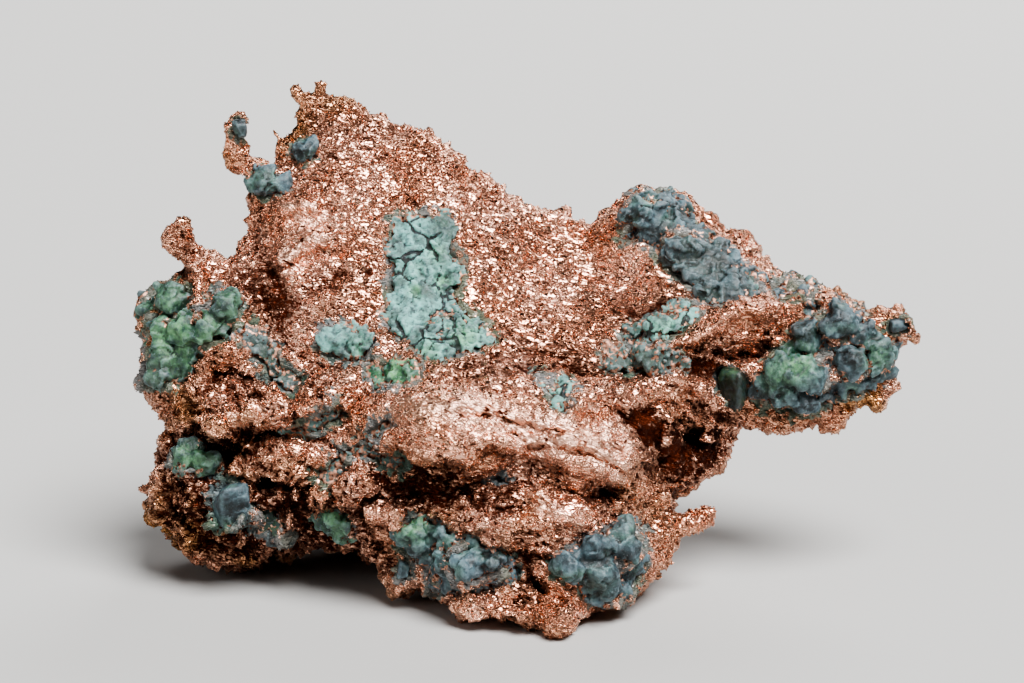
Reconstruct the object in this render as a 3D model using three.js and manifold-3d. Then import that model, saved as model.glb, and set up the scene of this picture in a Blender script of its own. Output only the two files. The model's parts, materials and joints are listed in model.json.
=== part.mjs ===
// Native copper nugget, about 39 mm wide, with blue-green crystals and crusts grown into it.
//
// Everything is first built in the frame of the nugget's broad front face:
//   u runs to the right, v runs up the face, w stands out of the face towards the viewer.
// The face leans back by FACE_LEAN, and the finished nugget is then set on the floor with its
// origin at the bottom centre of its bounding box. All lengths are millimetres.

import * as THREE from 'three';
import { mergeVertices } from 'three/addons/utils/BufferGeometryUtils.js';
import { ImprovedNoise } from 'three/addons/math/ImprovedNoise.js';
import Module from 'manifold-3d';

const wasm = await Module();
wasm.setup();

// ---------------------------------------------------------------- driving dimensions

const FACE_LEAN = THREE.MathUtils.degToRad(15); // how far the broad face leans back
const FLOOR_LEVEL = 1.55; // height of the floor above the face frame's origin
const MASS_CELL = 1.38; // grid spacing of the copper mass
const CRUST_CELL = 1.4; // grid spacing of the mineral crusts
const BED_CELL = 2.2; // grid spacing of the beds crystals stand on
const EDGE_SWELL = 0.25; // share of a crust's rise left at its edge
const SWELL_REACH = 0.6; // distance over which a crust reaches its full rise
const BED_THICKNESS = 0.7; // least thickness of a crust or crystal bed
const CRUST_BED = { rise: 0.25, cell: CRUST_CELL, overhang: 0.05 };
const CRYSTAL_BED = { rise: 0.02, cell: BED_CELL, overhang: 0.15 }; // crystals overhang it a little
const GAP = 0.3; // clearance between a mineral and its copper pocket
const RIM_FALL = 1.35; // distance over which the faces round off to the rim
const RIM_SHARE = 0.08; // share of the thickness left standing at the rim itself
const FLOOR_CLEARANCE = 0.35; // the underside stays this far above the floor between feet
const STATION_REACH = 3.2; // how far each depth station is felt
const COARSE_CRINKLE = { wave: 3.1, height: 0.5 };
const FINE_CRINKLE = { wave: 1.45, height: 0.5 };
const GRID_SHAKE = 0.3; // sideways wander of grid points, as a share of the cell
const LARGE_CRYSTAL = 0.5; // above this radius a crystal has twelve faces, below it twenty small ones
const FACET_REACH = 0.79; // distance of a polyhedron's faces from its centre, as a share of its radius
const CRYSTAL_CRINKLE = 0.16; // unevenness of a crystal, as a share of its radius
const CUTTER_REACH = 30; // far enough to pass right through the nugget
const NODULE_HEIGHT = 0.3; // centre of a crust's nodule above the face, as a share of its radius
const LEAST_TOE = 0.5; // least thickness where the floor would cut the underside
const CAVE_CRINKLE = 0.12; // unevenness of a cave, as a share of its radii
const PRONG = { sides: 6, extraSteps: 2, knobbliness: 0.22, knobsPerMm: 1.9 };
const FOOT_FACETS = { around: 8, high: 6 };
const WELD = 1e-4; // corners closer than this are one corner
const TINY_WEIGHT = 1e-9; // keeps a mean defined far from every station

// Where each wander reads the noise, so that no two faces are uneven in the same way.
const GRID_SLICE = { front: 3.7, back: 8.2, upShift: 4 };
const GRID_WAVES = { across: [1.71, 1.37], up: [1.53, 1.91] }; // wander of grid points, per mm of u and v
const CRINKLE_SLICE = { front: 1.3, back: 7.9, fineShift: 3.3 };
const PEBBLE_WAVES = 1.6; // bumps over a pebble's radius
const PEBBLE_SLICE = { u: 2.3, v: 1.9, w: 5.5 };

// ---------------------------------------------------------------- materials

const COPPER = { colour: '#c57c58', roughness: 0.38, metalness: 1.0 };
const PALE_CRUST = { colour: '#a3c4bf', roughness: 0.75, metalness: 0.0 };
const GREEN_CRUST = { colour: '#4f8f6c', roughness: 0.7, metalness: 0.0 };
const BLUE_CRYSTAL = { colour: '#8fabb0', roughness: 0.45, metalness: 0.0 };
const GREEN_CRYSTAL = { colour: '#6fa38d', roughness: 0.45, metalness: 0.0 };
const SMOKY_CRYSTAL = { colour: '#4d5f60', roughness: 0.4, metalness: 0.0 };

// ---------------------------------------------------------------- copper mass, measured shape

// The rim of the nugget in the face frame, clockwise from the tip at the upper left.
const MASS_OUTLINE = [
  [-11.0, 26.9], [-9.5, 26.8], [-8.8, 26.3], [-7.5, 25.75], [-6.5, 25.2], [-5.0, 25.1],
  [-4.0, 24.0], [-3.0, 22.8], [-2.3, 23.0], [-1.5, 22.2], [0.0, 21.3], [0.5, 20.9],
  [1.0, 21.2], [1.9, 21.0], [2.8, 20.1], [3.2, 19.9], [3.6, 20.9], [4.3, 21.3],
  [5.2, 21.9], [5.8, 22.2], [7.0, 22.0], [8.1, 21.9], [8.6, 21.3], [9.5, 20.3],
  [10.3, 19.9], [10.6, 20.1], [11.3, 19.3], [12.4, 17.8], [14.0, 17.4], [15.0, 16.9],
  [15.8, 16.9], [16.6, 16.0], [17.8, 15.7], [18.6, 16.1], [19.1, 15.5], [19.4, 14.5],
  [18.1, 14.3], [17.9, 13.2], [16.9, 12.0], [15.9, 11.5], [15.8, 10.4], [15.4, 9.9],
  [14.8, 10.0], [14.4, 10.6], [13.2, 10.3], [12.5, 10.0], [11.0, 10.6], [10.5, 10.9],
  [10.0, 9.7], [9.3, 8.1], [8.2, 7.8], [7.3, 7.0], [6.6, 6.5], [7.1, 5.2],
  [7.0, 3.9], [6.2, 3.1], [5.3, 2.3], [4.0, 2.0], [3.1, 1.35], [2.4, 0.9],
  [1.9, 0.6], [0.3, 0.7], [-1.2, 1.2], [-2.7, 0.95], [-4.2, 1.5], [-4.6, 2.2],
  [-6.0, 2.4], [-6.6, 1.9], [-7.5, 3.6], [-8.7, 4.2], [-10.5, 4.5], [-12.6, 4.1],
  [-13.6, 4.2], [-14.4, 3.3], [-15.4, 3.4], [-16.9, 4.2], [-18.0, 4.6], [-19.1, 6.1],
  [-19.35, 7.2], [-18.8, 8.8], [-18.1, 9.6], [-18.1, 10.5], [-19.4, 12.1], [-19.1, 14.0],
  [-19.4, 16.4], [-19.0, 17.1], [-18.0, 17.3], [-17.4, 18.2], [-16.0, 18.9], [-15.1, 18.2],
  [-14.0, 20.0], [-14.3, 22.2], [-13.0, 23.1], [-12.9, 24.6], [-12.1, 24.9], [-11.5, 26.2],
];

// Depth of the two broad faces: [u, v, front w, back w].
const DEPTH_STATIONS = [
  [-10.0, 24.5, -1.2, -5.0],
  [-5.0, 20.0, 0.6, -7.5],
  [1.0, 17.5, -0.6, -8.5],
  [7.0, 19.5, -0.6, -7.0],
  [12.0, 17.5, 0.9, -5.8],
  [15.0, 13.5, 1.0, -5.0],
  [18.0, 14.8, 0.4, -3.2],
  [11.0, 12.5, 0.4, -7.0],
  [7.5, 12.0, 3.0, -9.5],
  [4.0, 10.0, 4.8, -11.0],
  [-3.0, 10.5, 5.2, -10.5],
  [0.0, 6.5, 6.0, -10.5],
  [1.5, 2.5, 6.9, -5.0],
  [-5.0, 5.0, 4.4, -11.5],
  [-10.0, 6.5, 2.6, -11.5],
  [-15.0, 6.0, 1.0, -8.0],
  [-17.0, 10.5, 1.6, -6.5],
  [-17.5, 14.5, 1.5, -5.5],
  [-12.5, 14.0, 2.0, -8.5],
  [-12.0, 19.5, 0.5, -6.0],
  [5.5, 5.0, 4.4, -10.0],
];

// Depth of the rim: [u, v, w].
const RIM_STATIONS = [
  [-11.0, 27.0, -2.6],
  [-14.5, 21.0, -2.4],
  [-19.0, 16.0, -1.8],
  [-18.5, 10.0, -2.2],
  [-19.0, 6.5, -3.2],
  [-14.5, 3.2, -4.6],
  [-10.0, 4.4, -1.5],
  [-6.0, 2.4, 1.0],
  [-3.0, 1.0, 4.0],
  [1.2, 0.6, 5.9],
  [3.2, 1.4, 4.4],
  [6.5, 3.5, 0.4],
  [7.0, 6.6, -1.0],
  [10.5, 10.5, -2.6],
  [15.4, 10.2, -1.0],
  [18.8, 14.6, -1.2],
  [14.0, 17.4, -2.0],
  [9.5, 20.4, -3.8],
  [5.0, 21.9, -4.0],
  [1.0, 21.1, -3.8],
  [-4.0, 24.0, -3.4],
];

// Ridges (positive rise) and furrows (negative rise) along a path on the front face.
const FRONT_RELIEF = [
  { path: [[-6, 10.4], [-3, 11.3], [-1, 11.5], [1.5, 10.6], [5, 9]], rise: 1.5, reach: 1.5 }, // bow ridge
  { path: [[-1.6, 5.4], [0.6, 6.4], [2.2, 5.6]], rise: 0.9, reach: 1.0 }, // lower lump
  { path: [[-6.5, 7.4], [-3, 7], [0, 8.1]], rise: -1.1, reach: 0.7 }, // furrow below bow
  { path: [[-18.4, 10], [-14, 10.5], [-10, 11.2]], rise: 1.7, reach: 0.75 }, // upper left ledge
  { path: [[-13.6, 8.2], [-11, 8.3], [-8.2, 7.6]], rise: 1.0, reach: 0.6 }, // middle left ledge
  { path: [[-13.6, 6.9], [-10, 6.9], [-7, 6.2]], rise: 0.9, reach: 0.6 }, // lower left ledge
  { path: [[-18.4, 7], [-17.3, 5.6], [-15.8, 4.6]], rise: 0.9, reach: 0.9 }, // lower left lobe
  { path: [[2, 11.2], [5, 11.7], [8, 12]], rise: 0.9, reach: 0.8 }, // right ridge
  { path: [[6.2, 14.2], [8, 14.9], [10, 15.8], [13, 16.2], [16, 16]], rise: 1.7, reach: 0.8 }, // arm ridge
  { path: [[3.6, 13.7], [5.5, 13.5], [9, 13.6]], rise: -0.9, reach: 0.6 }, // arm groove
  { path: [[1, 18.6], [4, 17.6]], rise: -0.9, reach: 2.2 }, // saddle
  { path: [[-13, 17.6], [-10, 17], [-8, 16.2]], rise: 0.5, reach: 0.8 }, // plate edge
  { path: [[-6.4, 23.3], [-6.7, 21.4]], rise: -0.6, reach: 0.7 }, // plate hollow
  { path: [[5.4, 10.3], [6.4, 8.6]], rise: -1.3, reach: 0.9 }, // right hollow
];

// Ridges and furrows of the back face; the same layout, rise counted outwards.
const BACK_RELIEF = [
  { path: [[-13, 20], [-6, 15.5], [2, 13], [10, 14.5]], rise: 1.2, reach: 1.6 }, // spine
  { path: [[-12, 14.5], [-5, 11.5], [3, 9.5]], rise: -1.5, reach: 1.2 }, // spine furrow
  { path: [[-11, 8.5], [-5, 8], [4, 7.5]], rise: 1.0, reach: 1.5 }, // lower swell
  { path: [[-8, 22], [-1, 18.5], [6, 18]], rise: -1.1, reach: 1.0 }, // upper furrow
  { path: [[9, 18], [14, 15.5], [17.5, 14.8]], rise: 0.8, reach: 0.8 }, // arm back ridge
];

// Caves and pits eaten into the front: [u, v, depth below the face, radii u, v, w].
const CAVES = [
  [-15.6, 9.0, 0.6, 2.2, 0.7, 2.2],
  [-12.4, 7.5, 0.4, 1.5, 0.5, 1.5],
  [10.6, 14.0, 0.5, 2.1, 0.65, 2.2],
  [9.7, 12.4, 0.4, 1.2, 0.9, 2.0],
  [8.0, 9.6, 0.2, 0.8, 1.0, 1.6],
];

// Lobes the nugget stands on, each just touching the floor: centre x and y on the floor
// (y runs back from the face frame's origin), then radii across, back and up.
const FEET = [
  [1.25, -5.4, 0.75, 1.0, 0.8],
  [-14.6, 5.7, 0.9, 1.2, 0.9],
  [3.2, 8.4, 2.9, 2.3, 1.6],
  [-6.4, 9.0, 3.1, 2.5, 1.7],
];

// Curled prongs: the path [u, v, w] and the radius at the root and at the tip.
const PRONGS = [
  {
    name: 'upper_left_hook',
    path: [
      [-12.9, 22.4, -2.2], [-14.5, 23.5, -1.9], [-15.1, 24.6, -1.6],
      [-15.0, 25.6, -1.4], [-14.4, 26.0, -1.1],
    ],
    root: 0.75,
    tip: 0.38,
  },
  {
    name: 'left_curl',
    path: [
      [-15.6, 17.6, -1.8], [-17.2, 18.7, -1.3], [-18.0, 19.6, -0.9],
      [-17.9, 20.3, -0.6], [-16.9, 20.6, -0.4],
    ],
    root: 1.0,
    tip: 0.32,
  },
  {
    name: 'top_fork_left',
    path: [[-10.8, 26.0, -2.4], [-11.5, 26.8, -2.2], [-12.0, 27.3, -2.1]],
    root: 0.5,
    tip: 0.2,
  },
  {
    name: 'top_fork_right',
    path: [[-10.6, 26.2, -2.5], [-10.8, 27.1, -2.4], [-10.3, 27.6, -2.2]],
    root: 0.5,
    tip: 0.28,
  },
  {
    name: 'left_spine',
    path: [[-12.3, 24.0, -2.2], [-12.8, 24.7, -2.1], [-12.9, 25.2, -2.0]],
    root: 0.4,
    tip: 0.15,
  },
  {
    name: 'lower_right_prong',
    path: [[5.8, 5.4, 0.6], [7.6, 5.3, 0.4], [8.6, 5.4, 0.2], [9.1, 6.0, 0.1]],
    root: 0.85,
    tip: 0.32,
  },
  {
    name: 'arm_prong',
    path: [[16.2, 11.9, -1.4], [17.2, 11.4, -1.2], [17.9, 11.8, -1.0], [18.2, 12.4, -0.9]],
    root: 0.45,
    tip: 0.2,
  },
  {
    name: 'arm_tip_curl',
    path: [[17.2, 15.2, -0.8], [18.5, 15.6, -0.2], [19.0, 15.0, 0.1], [19.0, 14.4, 0.1]],
    root: 0.7,
    tip: 0.35,
  },
];

// ---------------------------------------------------------------- minerals, measured shape

// Crusts: a plate of mineral set into the face. `outline` is closed; `path` is a strip.
const CRUSTS = [
  {
    name: 'crust_centre',
    material: PALE_CRUST,
    outline: [
      [-6.9, 20.7], [-6.0, 20.2], [-5.3, 20.8], [-4.9, 20.2], [-4.3, 20.8], [-4.2, 19.3], [-3.5, 17.9],
      [-4.0, 16.6], [-3.6, 16.0], [-2.6, 15.6], [-1.9, 14.4], [-2.9, 14.1], [-4.3, 13.7], [-5.0, 13.5],
      [-5.6, 14.2], [-7.2, 15.5], [-6.9, 16.4], [-7.0, 17.7], [-6.7, 18.3], [-7.1, 19.0], [-6.7, 19.8],
    ],
  },
  {
    name: 'crust_upper_right',
    material: BLUE_CRYSTAL,
    outline: [
      [4.8, 20.4], [5.3, 21.6], [6.3, 21.9], [7.3, 21.4], [7.9, 20.2], [9.3, 19.0], [10.6, 18.2],
      [11.4, 17.1], [10.4, 16.9], [9.2, 16.4], [8.6, 16.6], [8.2, 17.2], [7.2, 18.0], [6.3, 19.0],
      [6.0, 19.7], [4.6, 19.6],
    ],
    nodules: [[5.6, 20.7, 0.8, 0.65], [7.5, 19.2, 0.6, 0.55]],
  },
  {
    name: 'crust_centre_left',
    material: PALE_CRUST,
    outline: [
      [-10.6, 14.6], [-10.1, 15.1], [-9.2, 15.0], [-8.0, 14.5], [-8.1, 13.8], [-8.9, 13.5], [-10.0, 13.7],
    ],
    nodules: [[-9.6, 14.4, 0.5, 0.55]],
  },
  {
    name: 'crust_green_seam',
    material: GREEN_CRUST,
    outline: [[-8.1, 13.1], [-7.2, 13.3], [-5.9, 13.0], [-5.3, 12.8], [-5.9, 12.3], [-7.4, 12.3]],
  },
  {
    name: 'crust_right_lens',
    material: PALE_CRUST,
    outline: [
      [4.4, 14.4], [5.5, 14.3], [6.8, 14.9], [8.2, 15.8], [7.5, 16.1], [6.4, 15.3], [5.2, 15.1],
    ],
  },
  {
    name: 'crust_centre_right',
    material: PALE_CRUST,
    outline: [[0.3, 12.8], [1.2, 12.4], [2.0, 12.0], [2.0, 11.4], [1.3, 11.2], [1.0, 11.8], [0.4, 12.3]],
  },
  {
    name: 'crust_left_strip',
    material: BLUE_CRYSTAL,
    path: [[-14.1, 14.9], [-13.2, 14.0], [-12.6, 13], [-11.5, 12.1]],
    width: 0.9,
  },
  {
    name: 'crust_ledge_strip',
    material: PALE_CRUST,
    path: [[-12, 10.1], [-11, 10.2], [-10, 10.8], [-9.4, 11.3]],
    width: 0.6,
  },
  {
    name: 'crust_short_strip',
    material: PALE_CRUST,
    path: [[-7.7, 9.9], [-6.8, 10.5]],
    width: 0.55,
  },
  {
    name: 'crust_arc',
    material: PALE_CRUST,
    path: [[-10.3, 7.6], [-9.2, 8.8], [-8, 9.1], [-6.3, 8.4]],
    width: 0.7,
  },
  {
    name: 'crust_groove',
    material: PALE_CRUST,
    path: [[3.7, 13.6], [4.6, 13.3], [5.6, 13.5], [7.3, 13.5]],
    width: 0.7,
  },
  {
    name: 'crust_arm_ridge',
    material: BLUE_CRYSTAL,
    path: [[12.1, 17.1], [13.1, 17.1], [14.2, 16.8]],
    width: 0.7,
  },
  {
    name: 'crust_small_patch',
    material: BLUE_CRYSTAL,
    path: [[-1.7, 7.6], [-1.2, 7.9]],
    width: 0.6,
  },
];

// Crystal groups: crystals grown together, [u, v, radius u, radius v, height]. The height is that of
// the crystal's centre over the face, as a share of its radius. A large group stands on a common bed
// whose outline is given.
const CRYSTAL_GROUPS = [
  {
    name: 'crystals_left',
    material: GREEN_CRYSTAL,
    bed: [
      [-19.3, 16.4], [-18.9, 17.1], [-17.3, 17.2], [-15.6, 16.9], [-14.7, 16.2], [-15.0, 14.7],
      [-16.3, 14.4], [-17.0, 13.1], [-17.5, 12.3], [-19.2, 12.3], [-19.0, 14.0],
    ],
    crystals: [
      [-17.9, 16.6, 0.85, 0.6, 0.3], [-15.2, 16.1, 0.65, 0.65, 0.4], [-18.4, 15.2, 0.55, 0.5, 0.3],
      [-17.3, 15.1, 0.55, 0.5, 0.4], [-16.2, 15.0, 0.55, 0.5, 0.4], [-17.0, 13.9, 0.5, 0.5, 0.5],
      [-18.3, 13.8, 0.5, 0.5, 0.3], [-18.2, 12.8, 0.55, 0.45, 0.3],
    ],
  },
  {
    name: 'crystals_right',
    material: BLUE_CRYSTAL,
    bed: [
      [14.0, 15.9], [15.2, 16.2], [16.4, 15.6], [17.6, 14.9], [18.1, 14.0], [17.7, 12.8], [16.4, 12.2],
      [15.0, 11.8], [13.6, 11.0], [11.6, 11.3], [11.5, 12.3], [12.0, 13.3], [12.9, 14.3],
    ],
    crystals: [
      [15.2, 15.4, 0.7, 0.65, 0.4], [16.4, 14.9, 0.6, 0.6, 0.4], [13.7, 14.5, 0.65, 0.55, 0.4],
      [12.7, 13.2, 0.65, 0.6, 0.4], [14.0, 12.7, 0.75, 0.7, 0.6], [15.9, 13.6, 0.75, 0.65, 0.5],
      [17.2, 14.0, 0.75, 0.7, 0.3], [12.5, 12.0, 0.75, 0.5, 0.3], [13.8, 11.6, 0.6, 0.4, 0.5],
    ],
  },
  {
    name: 'crystals_lower_middle',
    material: BLUE_CRYSTAL,
    bed: [
      [-6.4, 5.6], [-5.3, 5.9], [-4.3, 5.1], [-2.6, 4.6], [-1.4, 4.0], [-0.7, 3.3], [-1.9, 2.7],
      [-3.2, 2.2], [-4.7, 2.4], [-5.2, 3.6], [-6.3, 4.3],
    ],
    crystals: [
      [-5.7, 5.1, 0.65, 0.6, 0.3], [-4.7, 4.5, 0.6, 0.55, 0.4], [-4.1, 3.6, 0.6, 0.55, 0.4],
      [-3.0, 3.6, 0.85, 0.7, 0.5], [-2.0, 3.7, 0.55, 0.5, 0.3], [-3.8, 2.8, 0.5, 0.4, 0.3],
    ],
  },
  {
    name: 'crystals_lower_right',
    material: BLUE_CRYSTAL,
    bed: [
      [1.3, 3.9], [2.4, 4.7], [3.6, 5.2], [4.3, 5.7], [5.3, 5.4], [5.4, 4.2], [5.1, 2.8],
      [4.2, 2.1], [2.6, 2.0], [2.3, 3.0], [1.4, 3.1],
    ],
    crystals: [
      [1.9, 3.6, 0.55, 0.55, 0.4], [3.0, 4.5, 0.55, 0.5, 0.4], [4.6, 4.6, 0.65, 0.75, 0.5],
      [3.4, 3.5, 0.55, 0.5, 0.4], [3.6, 2.6, 0.6, 0.45, 0.3],
    ],
  },
  {
    name: 'crystals_lower_left',
    material: GREEN_CRYSTAL,
    crystals: [[-17.1, 8.6, 0.7, 0.5, 0.3], [-16.2, 8.3, 0.55, 0.45, 0.2]],
  },
  {
    name: 'crystal_lower_left_point',
    material: BLUE_CRYSTAL,
    crystals: [[-15.0, 6.3, 0.85, 1.1, 0.5]],
  },
  {
    name: 'crystals_lower_left_dark',
    material: SMOKY_CRYSTAL,
    crystals: [[-13.3, 5.7, 0.55, 0.5, 0.2], [-12.6, 5.4, 0.45, 0.4, 0.2]],
  },
  {
    name: 'crystals_lower_pocket',
    material: GREEN_CRYSTAL,
    crystals: [[-10.0, 5.7, 0.5, 0.45, 0.3], [-9.3, 5.5, 0.55, 0.6, 0.3]],
  },
  {
    name: 'crystal_lower_edge',
    material: BLUE_CRYSTAL,
    crystals: [[-6.3, 3.2, 0.3, 0.42, 0.3]],
  },
  {
    name: 'crystals_prong_base',
    material: BLUE_CRYSTAL,
    crystals: [[-13.4, 22.4, 0.62, 0.58, 0.8], [-12.7, 22.4, 0.36, 0.36, 0.6]],
  },
  {
    name: 'crystals_upper_left',
    material: BLUE_CRYSTAL,
    crystals: [[-11.5, 24.1, 0.42, 0.48, 0.4]],
  },
  {
    name: 'crystal_arm_tip',
    material: BLUE_CRYSTAL,
    crystals: [[18.35, 15.25, 0.45, 0.32, 0.9]],
  },
  {
    name: 'crystal_dark_pocket',
    material: SMOKY_CRYSTAL,
    crystals: [[10.0, 12.3, 0.75, 0.75, -0.5]],
  },
  {
    name: 'crystals_back_upper',
    material: BLUE_CRYSTAL,
    onBack: true,
    bed: [[-9.5, 19.5], [-8.0, 20.4], [-6.4, 19.8], [-6.2, 18.4], [-7.8, 17.8], [-9.4, 18.2]],
    crystals: [[-8.5, 19.2, 0.8, 0.7, 0.3], [-7.2, 19.1, 0.75, 0.8, 0.3]],
  },
  {
    name: 'crystals_back_arm',
    material: GREEN_CRYSTAL,
    onBack: true,
    bed: [[10.0, 13.2], [11.5, 13.8], [13.2, 13.4], [13.4, 12.2], [11.8, 11.7], [10.3, 12.0]],
    crystals: [[11.0, 12.8, 0.8, 0.65, 0.3], [12.4, 12.8, 0.75, 0.65, 0.4]],
  },
];

// A lone crystal gripped by the tip of the upper left hook: centre [u, v, w] and radii.
const HOOK_CRYSTAL = {
  name: 'crystal_hook_tip',
  centre: [-14.55, 25.05, -0.95],
  radii: [0.36, 0.42, 0.36],
};

// ---------------------------------------------------------------- small geometry helpers

const noise = new ImprovedNoise();

/** A point of the face frame in model axes, before the lean. */
function facePoint(u, v, w) {
  return new THREE.Vector3(u, -w, v);
}

/** A closed three.js geometry as a manifold solid. */
function solid(geometry) {
  geometry.deleteAttribute('normal');
  geometry.deleteAttribute('uv');
  const welded = mergeVertices(geometry, WELD);
  return new wasm.Manifold(
    new wasm.Mesh({
      numProp: 3,
      vertProperties: new Float32Array(welded.attributes.position.array),
      triVerts: new Uint32Array(welded.index.array),
    }),
  );
}

/** The biggest connected piece of a solid, without the waste a cut leaves behind. */
function mainPiece(body) {
  const pieces = body.decompose();
  pieces.sort((a, b) => b.volume() - a.volume());
  return pieces[0];
}

function distanceToSegment(u, v, [au, av], [bu, bv]) {
  const du = bu - au;
  const dv = bv - av;
  const along = ((u - au) * du + (v - av) * dv) / (du * du + dv * dv);
  const t = THREE.MathUtils.clamp(along, 0, 1);
  return Math.hypot(u - au - t * du, v - av - t * dv);
}

function distanceToPath(u, v, path) {
  let nearest = Infinity;
  for (let i = 1; i < path.length; i += 1) {
    nearest = Math.min(nearest, distanceToSegment(u, v, path[i - 1], path[i]));
  }
  return nearest;
}

function isInside(u, v, outline) {
  let inside = false;
  outline.forEach(([au, av], i) => {
    const [bu, bv] = outline[(i + 1) % outline.length];
    const crosses = av > v !== bv > v && u < au + ((v - av) / (bv - av)) * (bu - au);
    inside = crosses ? !inside : inside;
  });
  return inside;
}

/** Distance from the rim, zero outside the outline. */
function depthInside(u, v, outline) {
  return isInside(u, v, outline) ? distanceToPath(u, v, [...outline, outline[0]]) : 0;
}

/** Outline moved outwards by `amount`, corner by corner. */
function grow(outline, amount) {
  const turn = Math.sign(THREE.ShapeUtils.area(outline.map(([u, v]) => new THREE.Vector2(u, v))));
  return outline.map(([u, v], i) => {
    const [pu, pv] = outline[(i + outline.length - 1) % outline.length];
    const [nu, nv] = outline[(i + 1) % outline.length];
    const before = new THREE.Vector2(v - pv, pu - u).normalize();
    const after = new THREE.Vector2(nv - v, u - nu).normalize();
    const outwards = before.add(after).normalize().multiplyScalar(turn * amount);
    return [u + outwards.x, v + outwards.y];
  });
}

/** Outline of a strip of constant width along a path, with pointed ends. */
function stripOutline(path, width) {
  const sides = path.map(([u, v], i) => {
    const [pu, pv] = path[Math.max(i - 1, 0)];
    const [nu, nv] = path[Math.min(i + 1, path.length - 1)];
    const across = new THREE.Vector2(pv - nv, nu - pu).normalize().multiplyScalar(width / 2);
    return [[u + across.x, v + across.y], [u - across.x, v - across.y]];
  });
  const near = sides.map(([left]) => left);
  const far = sides.map(([, right]) => right).reverse();
  return [...near, ...far];
}

/** Straight-sided block with the given outline, from depth `fromW` to depth `toW`. */
function block(outline, fromW, toW) {
  const shape = new THREE.Shape(outline.map(([u, v]) => new THREE.Vector2(u, v)));
  const geometry = new THREE.ExtrudeGeometry(shape, { depth: toW - fromW, bevelEnabled: false });
  geometry.rotateX(Math.PI / 2);
  geometry.translate(0, -fromW, 0);
  return solid(geometry);
}

/** Gridded plate between two depth functions, trimmed to an outline. */
function plate(outline, cell, frontOf, backOf) {
  const box = new THREE.Box2().setFromPoints(outline.map(([u, v]) => new THREE.Vector2(u, v)));
  box.expandByScalar(cell);
  const size = box.getSize(new THREE.Vector2());
  const centre = box.getCenter(new THREE.Vector2());
  const columns = Math.ceil(size.x / cell);
  const rows = Math.ceil(size.y / cell);
  const geometry = new THREE.BoxGeometry(size.x, 1, size.y, columns, 1, rows);
  geometry.translate(centre.x, 0, centre.y);
  const position = geometry.attributes.position;
  for (let i = 0; i < position.count; i += 1) {
    const isFront = position.getY(i) < 0;
    const slice = isFront ? GRID_SLICE.front : GRID_SLICE.back;
    const gridU = position.getX(i);
    const gridV = position.getZ(i);
    const [acrossU, acrossV] = GRID_WAVES.across;
    const [upU, upV] = GRID_WAVES.up;
    const shakeU = noise.noise(gridU * acrossU, gridV * acrossV, slice);
    const shakeV = noise.noise(gridU * upU, gridV * upV, slice + GRID_SLICE.upShift);
    const u = gridU + 2 * GRID_SHAKE * cell * shakeU;
    const v = gridV + 2 * GRID_SHAKE * cell * shakeV;
    position.setXYZ(i, u, isFront ? -frontOf(u, v) : -backOf(u, v), v);
  }
  return solid(geometry).intersect(block(outline, -CUTTER_REACH, CUTTER_REACH));
}

/** A unit ball or polyhedron made uneven, stretched to the radii and set at [u, v, w]. */
function pebble(geometry, [u, v, w], [radiusU, radiusV, radiusW], unevenness = CRYSTAL_CRINKLE) {
  const position = geometry.attributes.position;
  const slice = new THREE.Vector3(u * PEBBLE_SLICE.u, v * PEBBLE_SLICE.v, PEBBLE_SLICE.w);
  const point = new THREE.Vector3();
  for (let i = 0; i < position.count; i += 1) {
    point.fromBufferAttribute(position, i);
    const spot = point.clone().multiplyScalar(PEBBLE_WAVES).add(slice);
    const bump = noise.noise(spot.x, spot.y, spot.z);
    point.multiplyScalar(1 + 2 * unevenness * bump);
    position.setXYZ(i, point.x, point.y, point.z);
  }
  geometry.rotateX(u + v);
  geometry.rotateZ(u - v);
  geometry.scale(radiusU, radiusW, radiusV);
  const centre = facePoint(u, v, w);
  geometry.translate(centre.x, centre.y, centre.z);
  return solid(geometry);
}

// ---------------------------------------------------------------- the two broad faces

/** Weighted mean of the stations' values in the given column. */
function fromStations(u, v, stations, column) {
  let total = 0;
  let sum = 0;
  stations.forEach((station) => {
    const distance = Math.hypot(u - station[0], v - station[1]) / STATION_REACH;
    const weight = Math.exp(-0.5 * distance * distance) + TINY_WEIGHT;
    total += weight;
    sum += weight * station[column];
  });
  return sum / total;
}

function reliefAt(u, v, features) {
  return features.reduce((sum, { path, rise, reach }) => {
    const distance = distanceToPath(u, v, path) / reach;
    return sum + rise * Math.exp(-distance * distance);
  }, 0);
}

function crinkle(u, v, slice) {
  const coarse = noise.noise(u / COARSE_CRINKLE.wave, v / COARSE_CRINKLE.wave, slice);
  const fine = noise.noise(u / FINE_CRINKLE.wave, v / FINE_CRINKLE.wave, slice + CRINKLE_SLICE.fineShift);
  return COARSE_CRINKLE.height * coarse + FINE_CRINKLE.height * fine;
}

/** The depth below which the underside would pass through the floor. */
function floorDepth(v) {
  const height = FLOOR_LEVEL + FLOOR_CLEARANCE;
  return (height - v * Math.cos(FACE_LEAN)) / Math.sin(FACE_LEAN);
}

/** Rounds a face off towards the rim of the nugget. */
function roundOff(u, v, faceDepth) {
  const rim = fromStations(u, v, RIM_STATIONS, 2);
  const inside = depthInside(u, v, MASS_OUTLINE);
  const share = RIM_SHARE + (1 - RIM_SHARE) * (1 - Math.exp(-inside / RIM_FALL));
  return rim + (faceDepth - rim) * share;
}

function frontDepth(u, v) {
  const smooth = fromStations(u, v, DEPTH_STATIONS, 2) + reliefAt(u, v, FRONT_RELIEF);
  const face = smooth + crinkle(u, v, CRINKLE_SLICE.front);
  return Math.max(roundOff(u, v, face), floorDepth(v) + LEAST_TOE);
}

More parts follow.
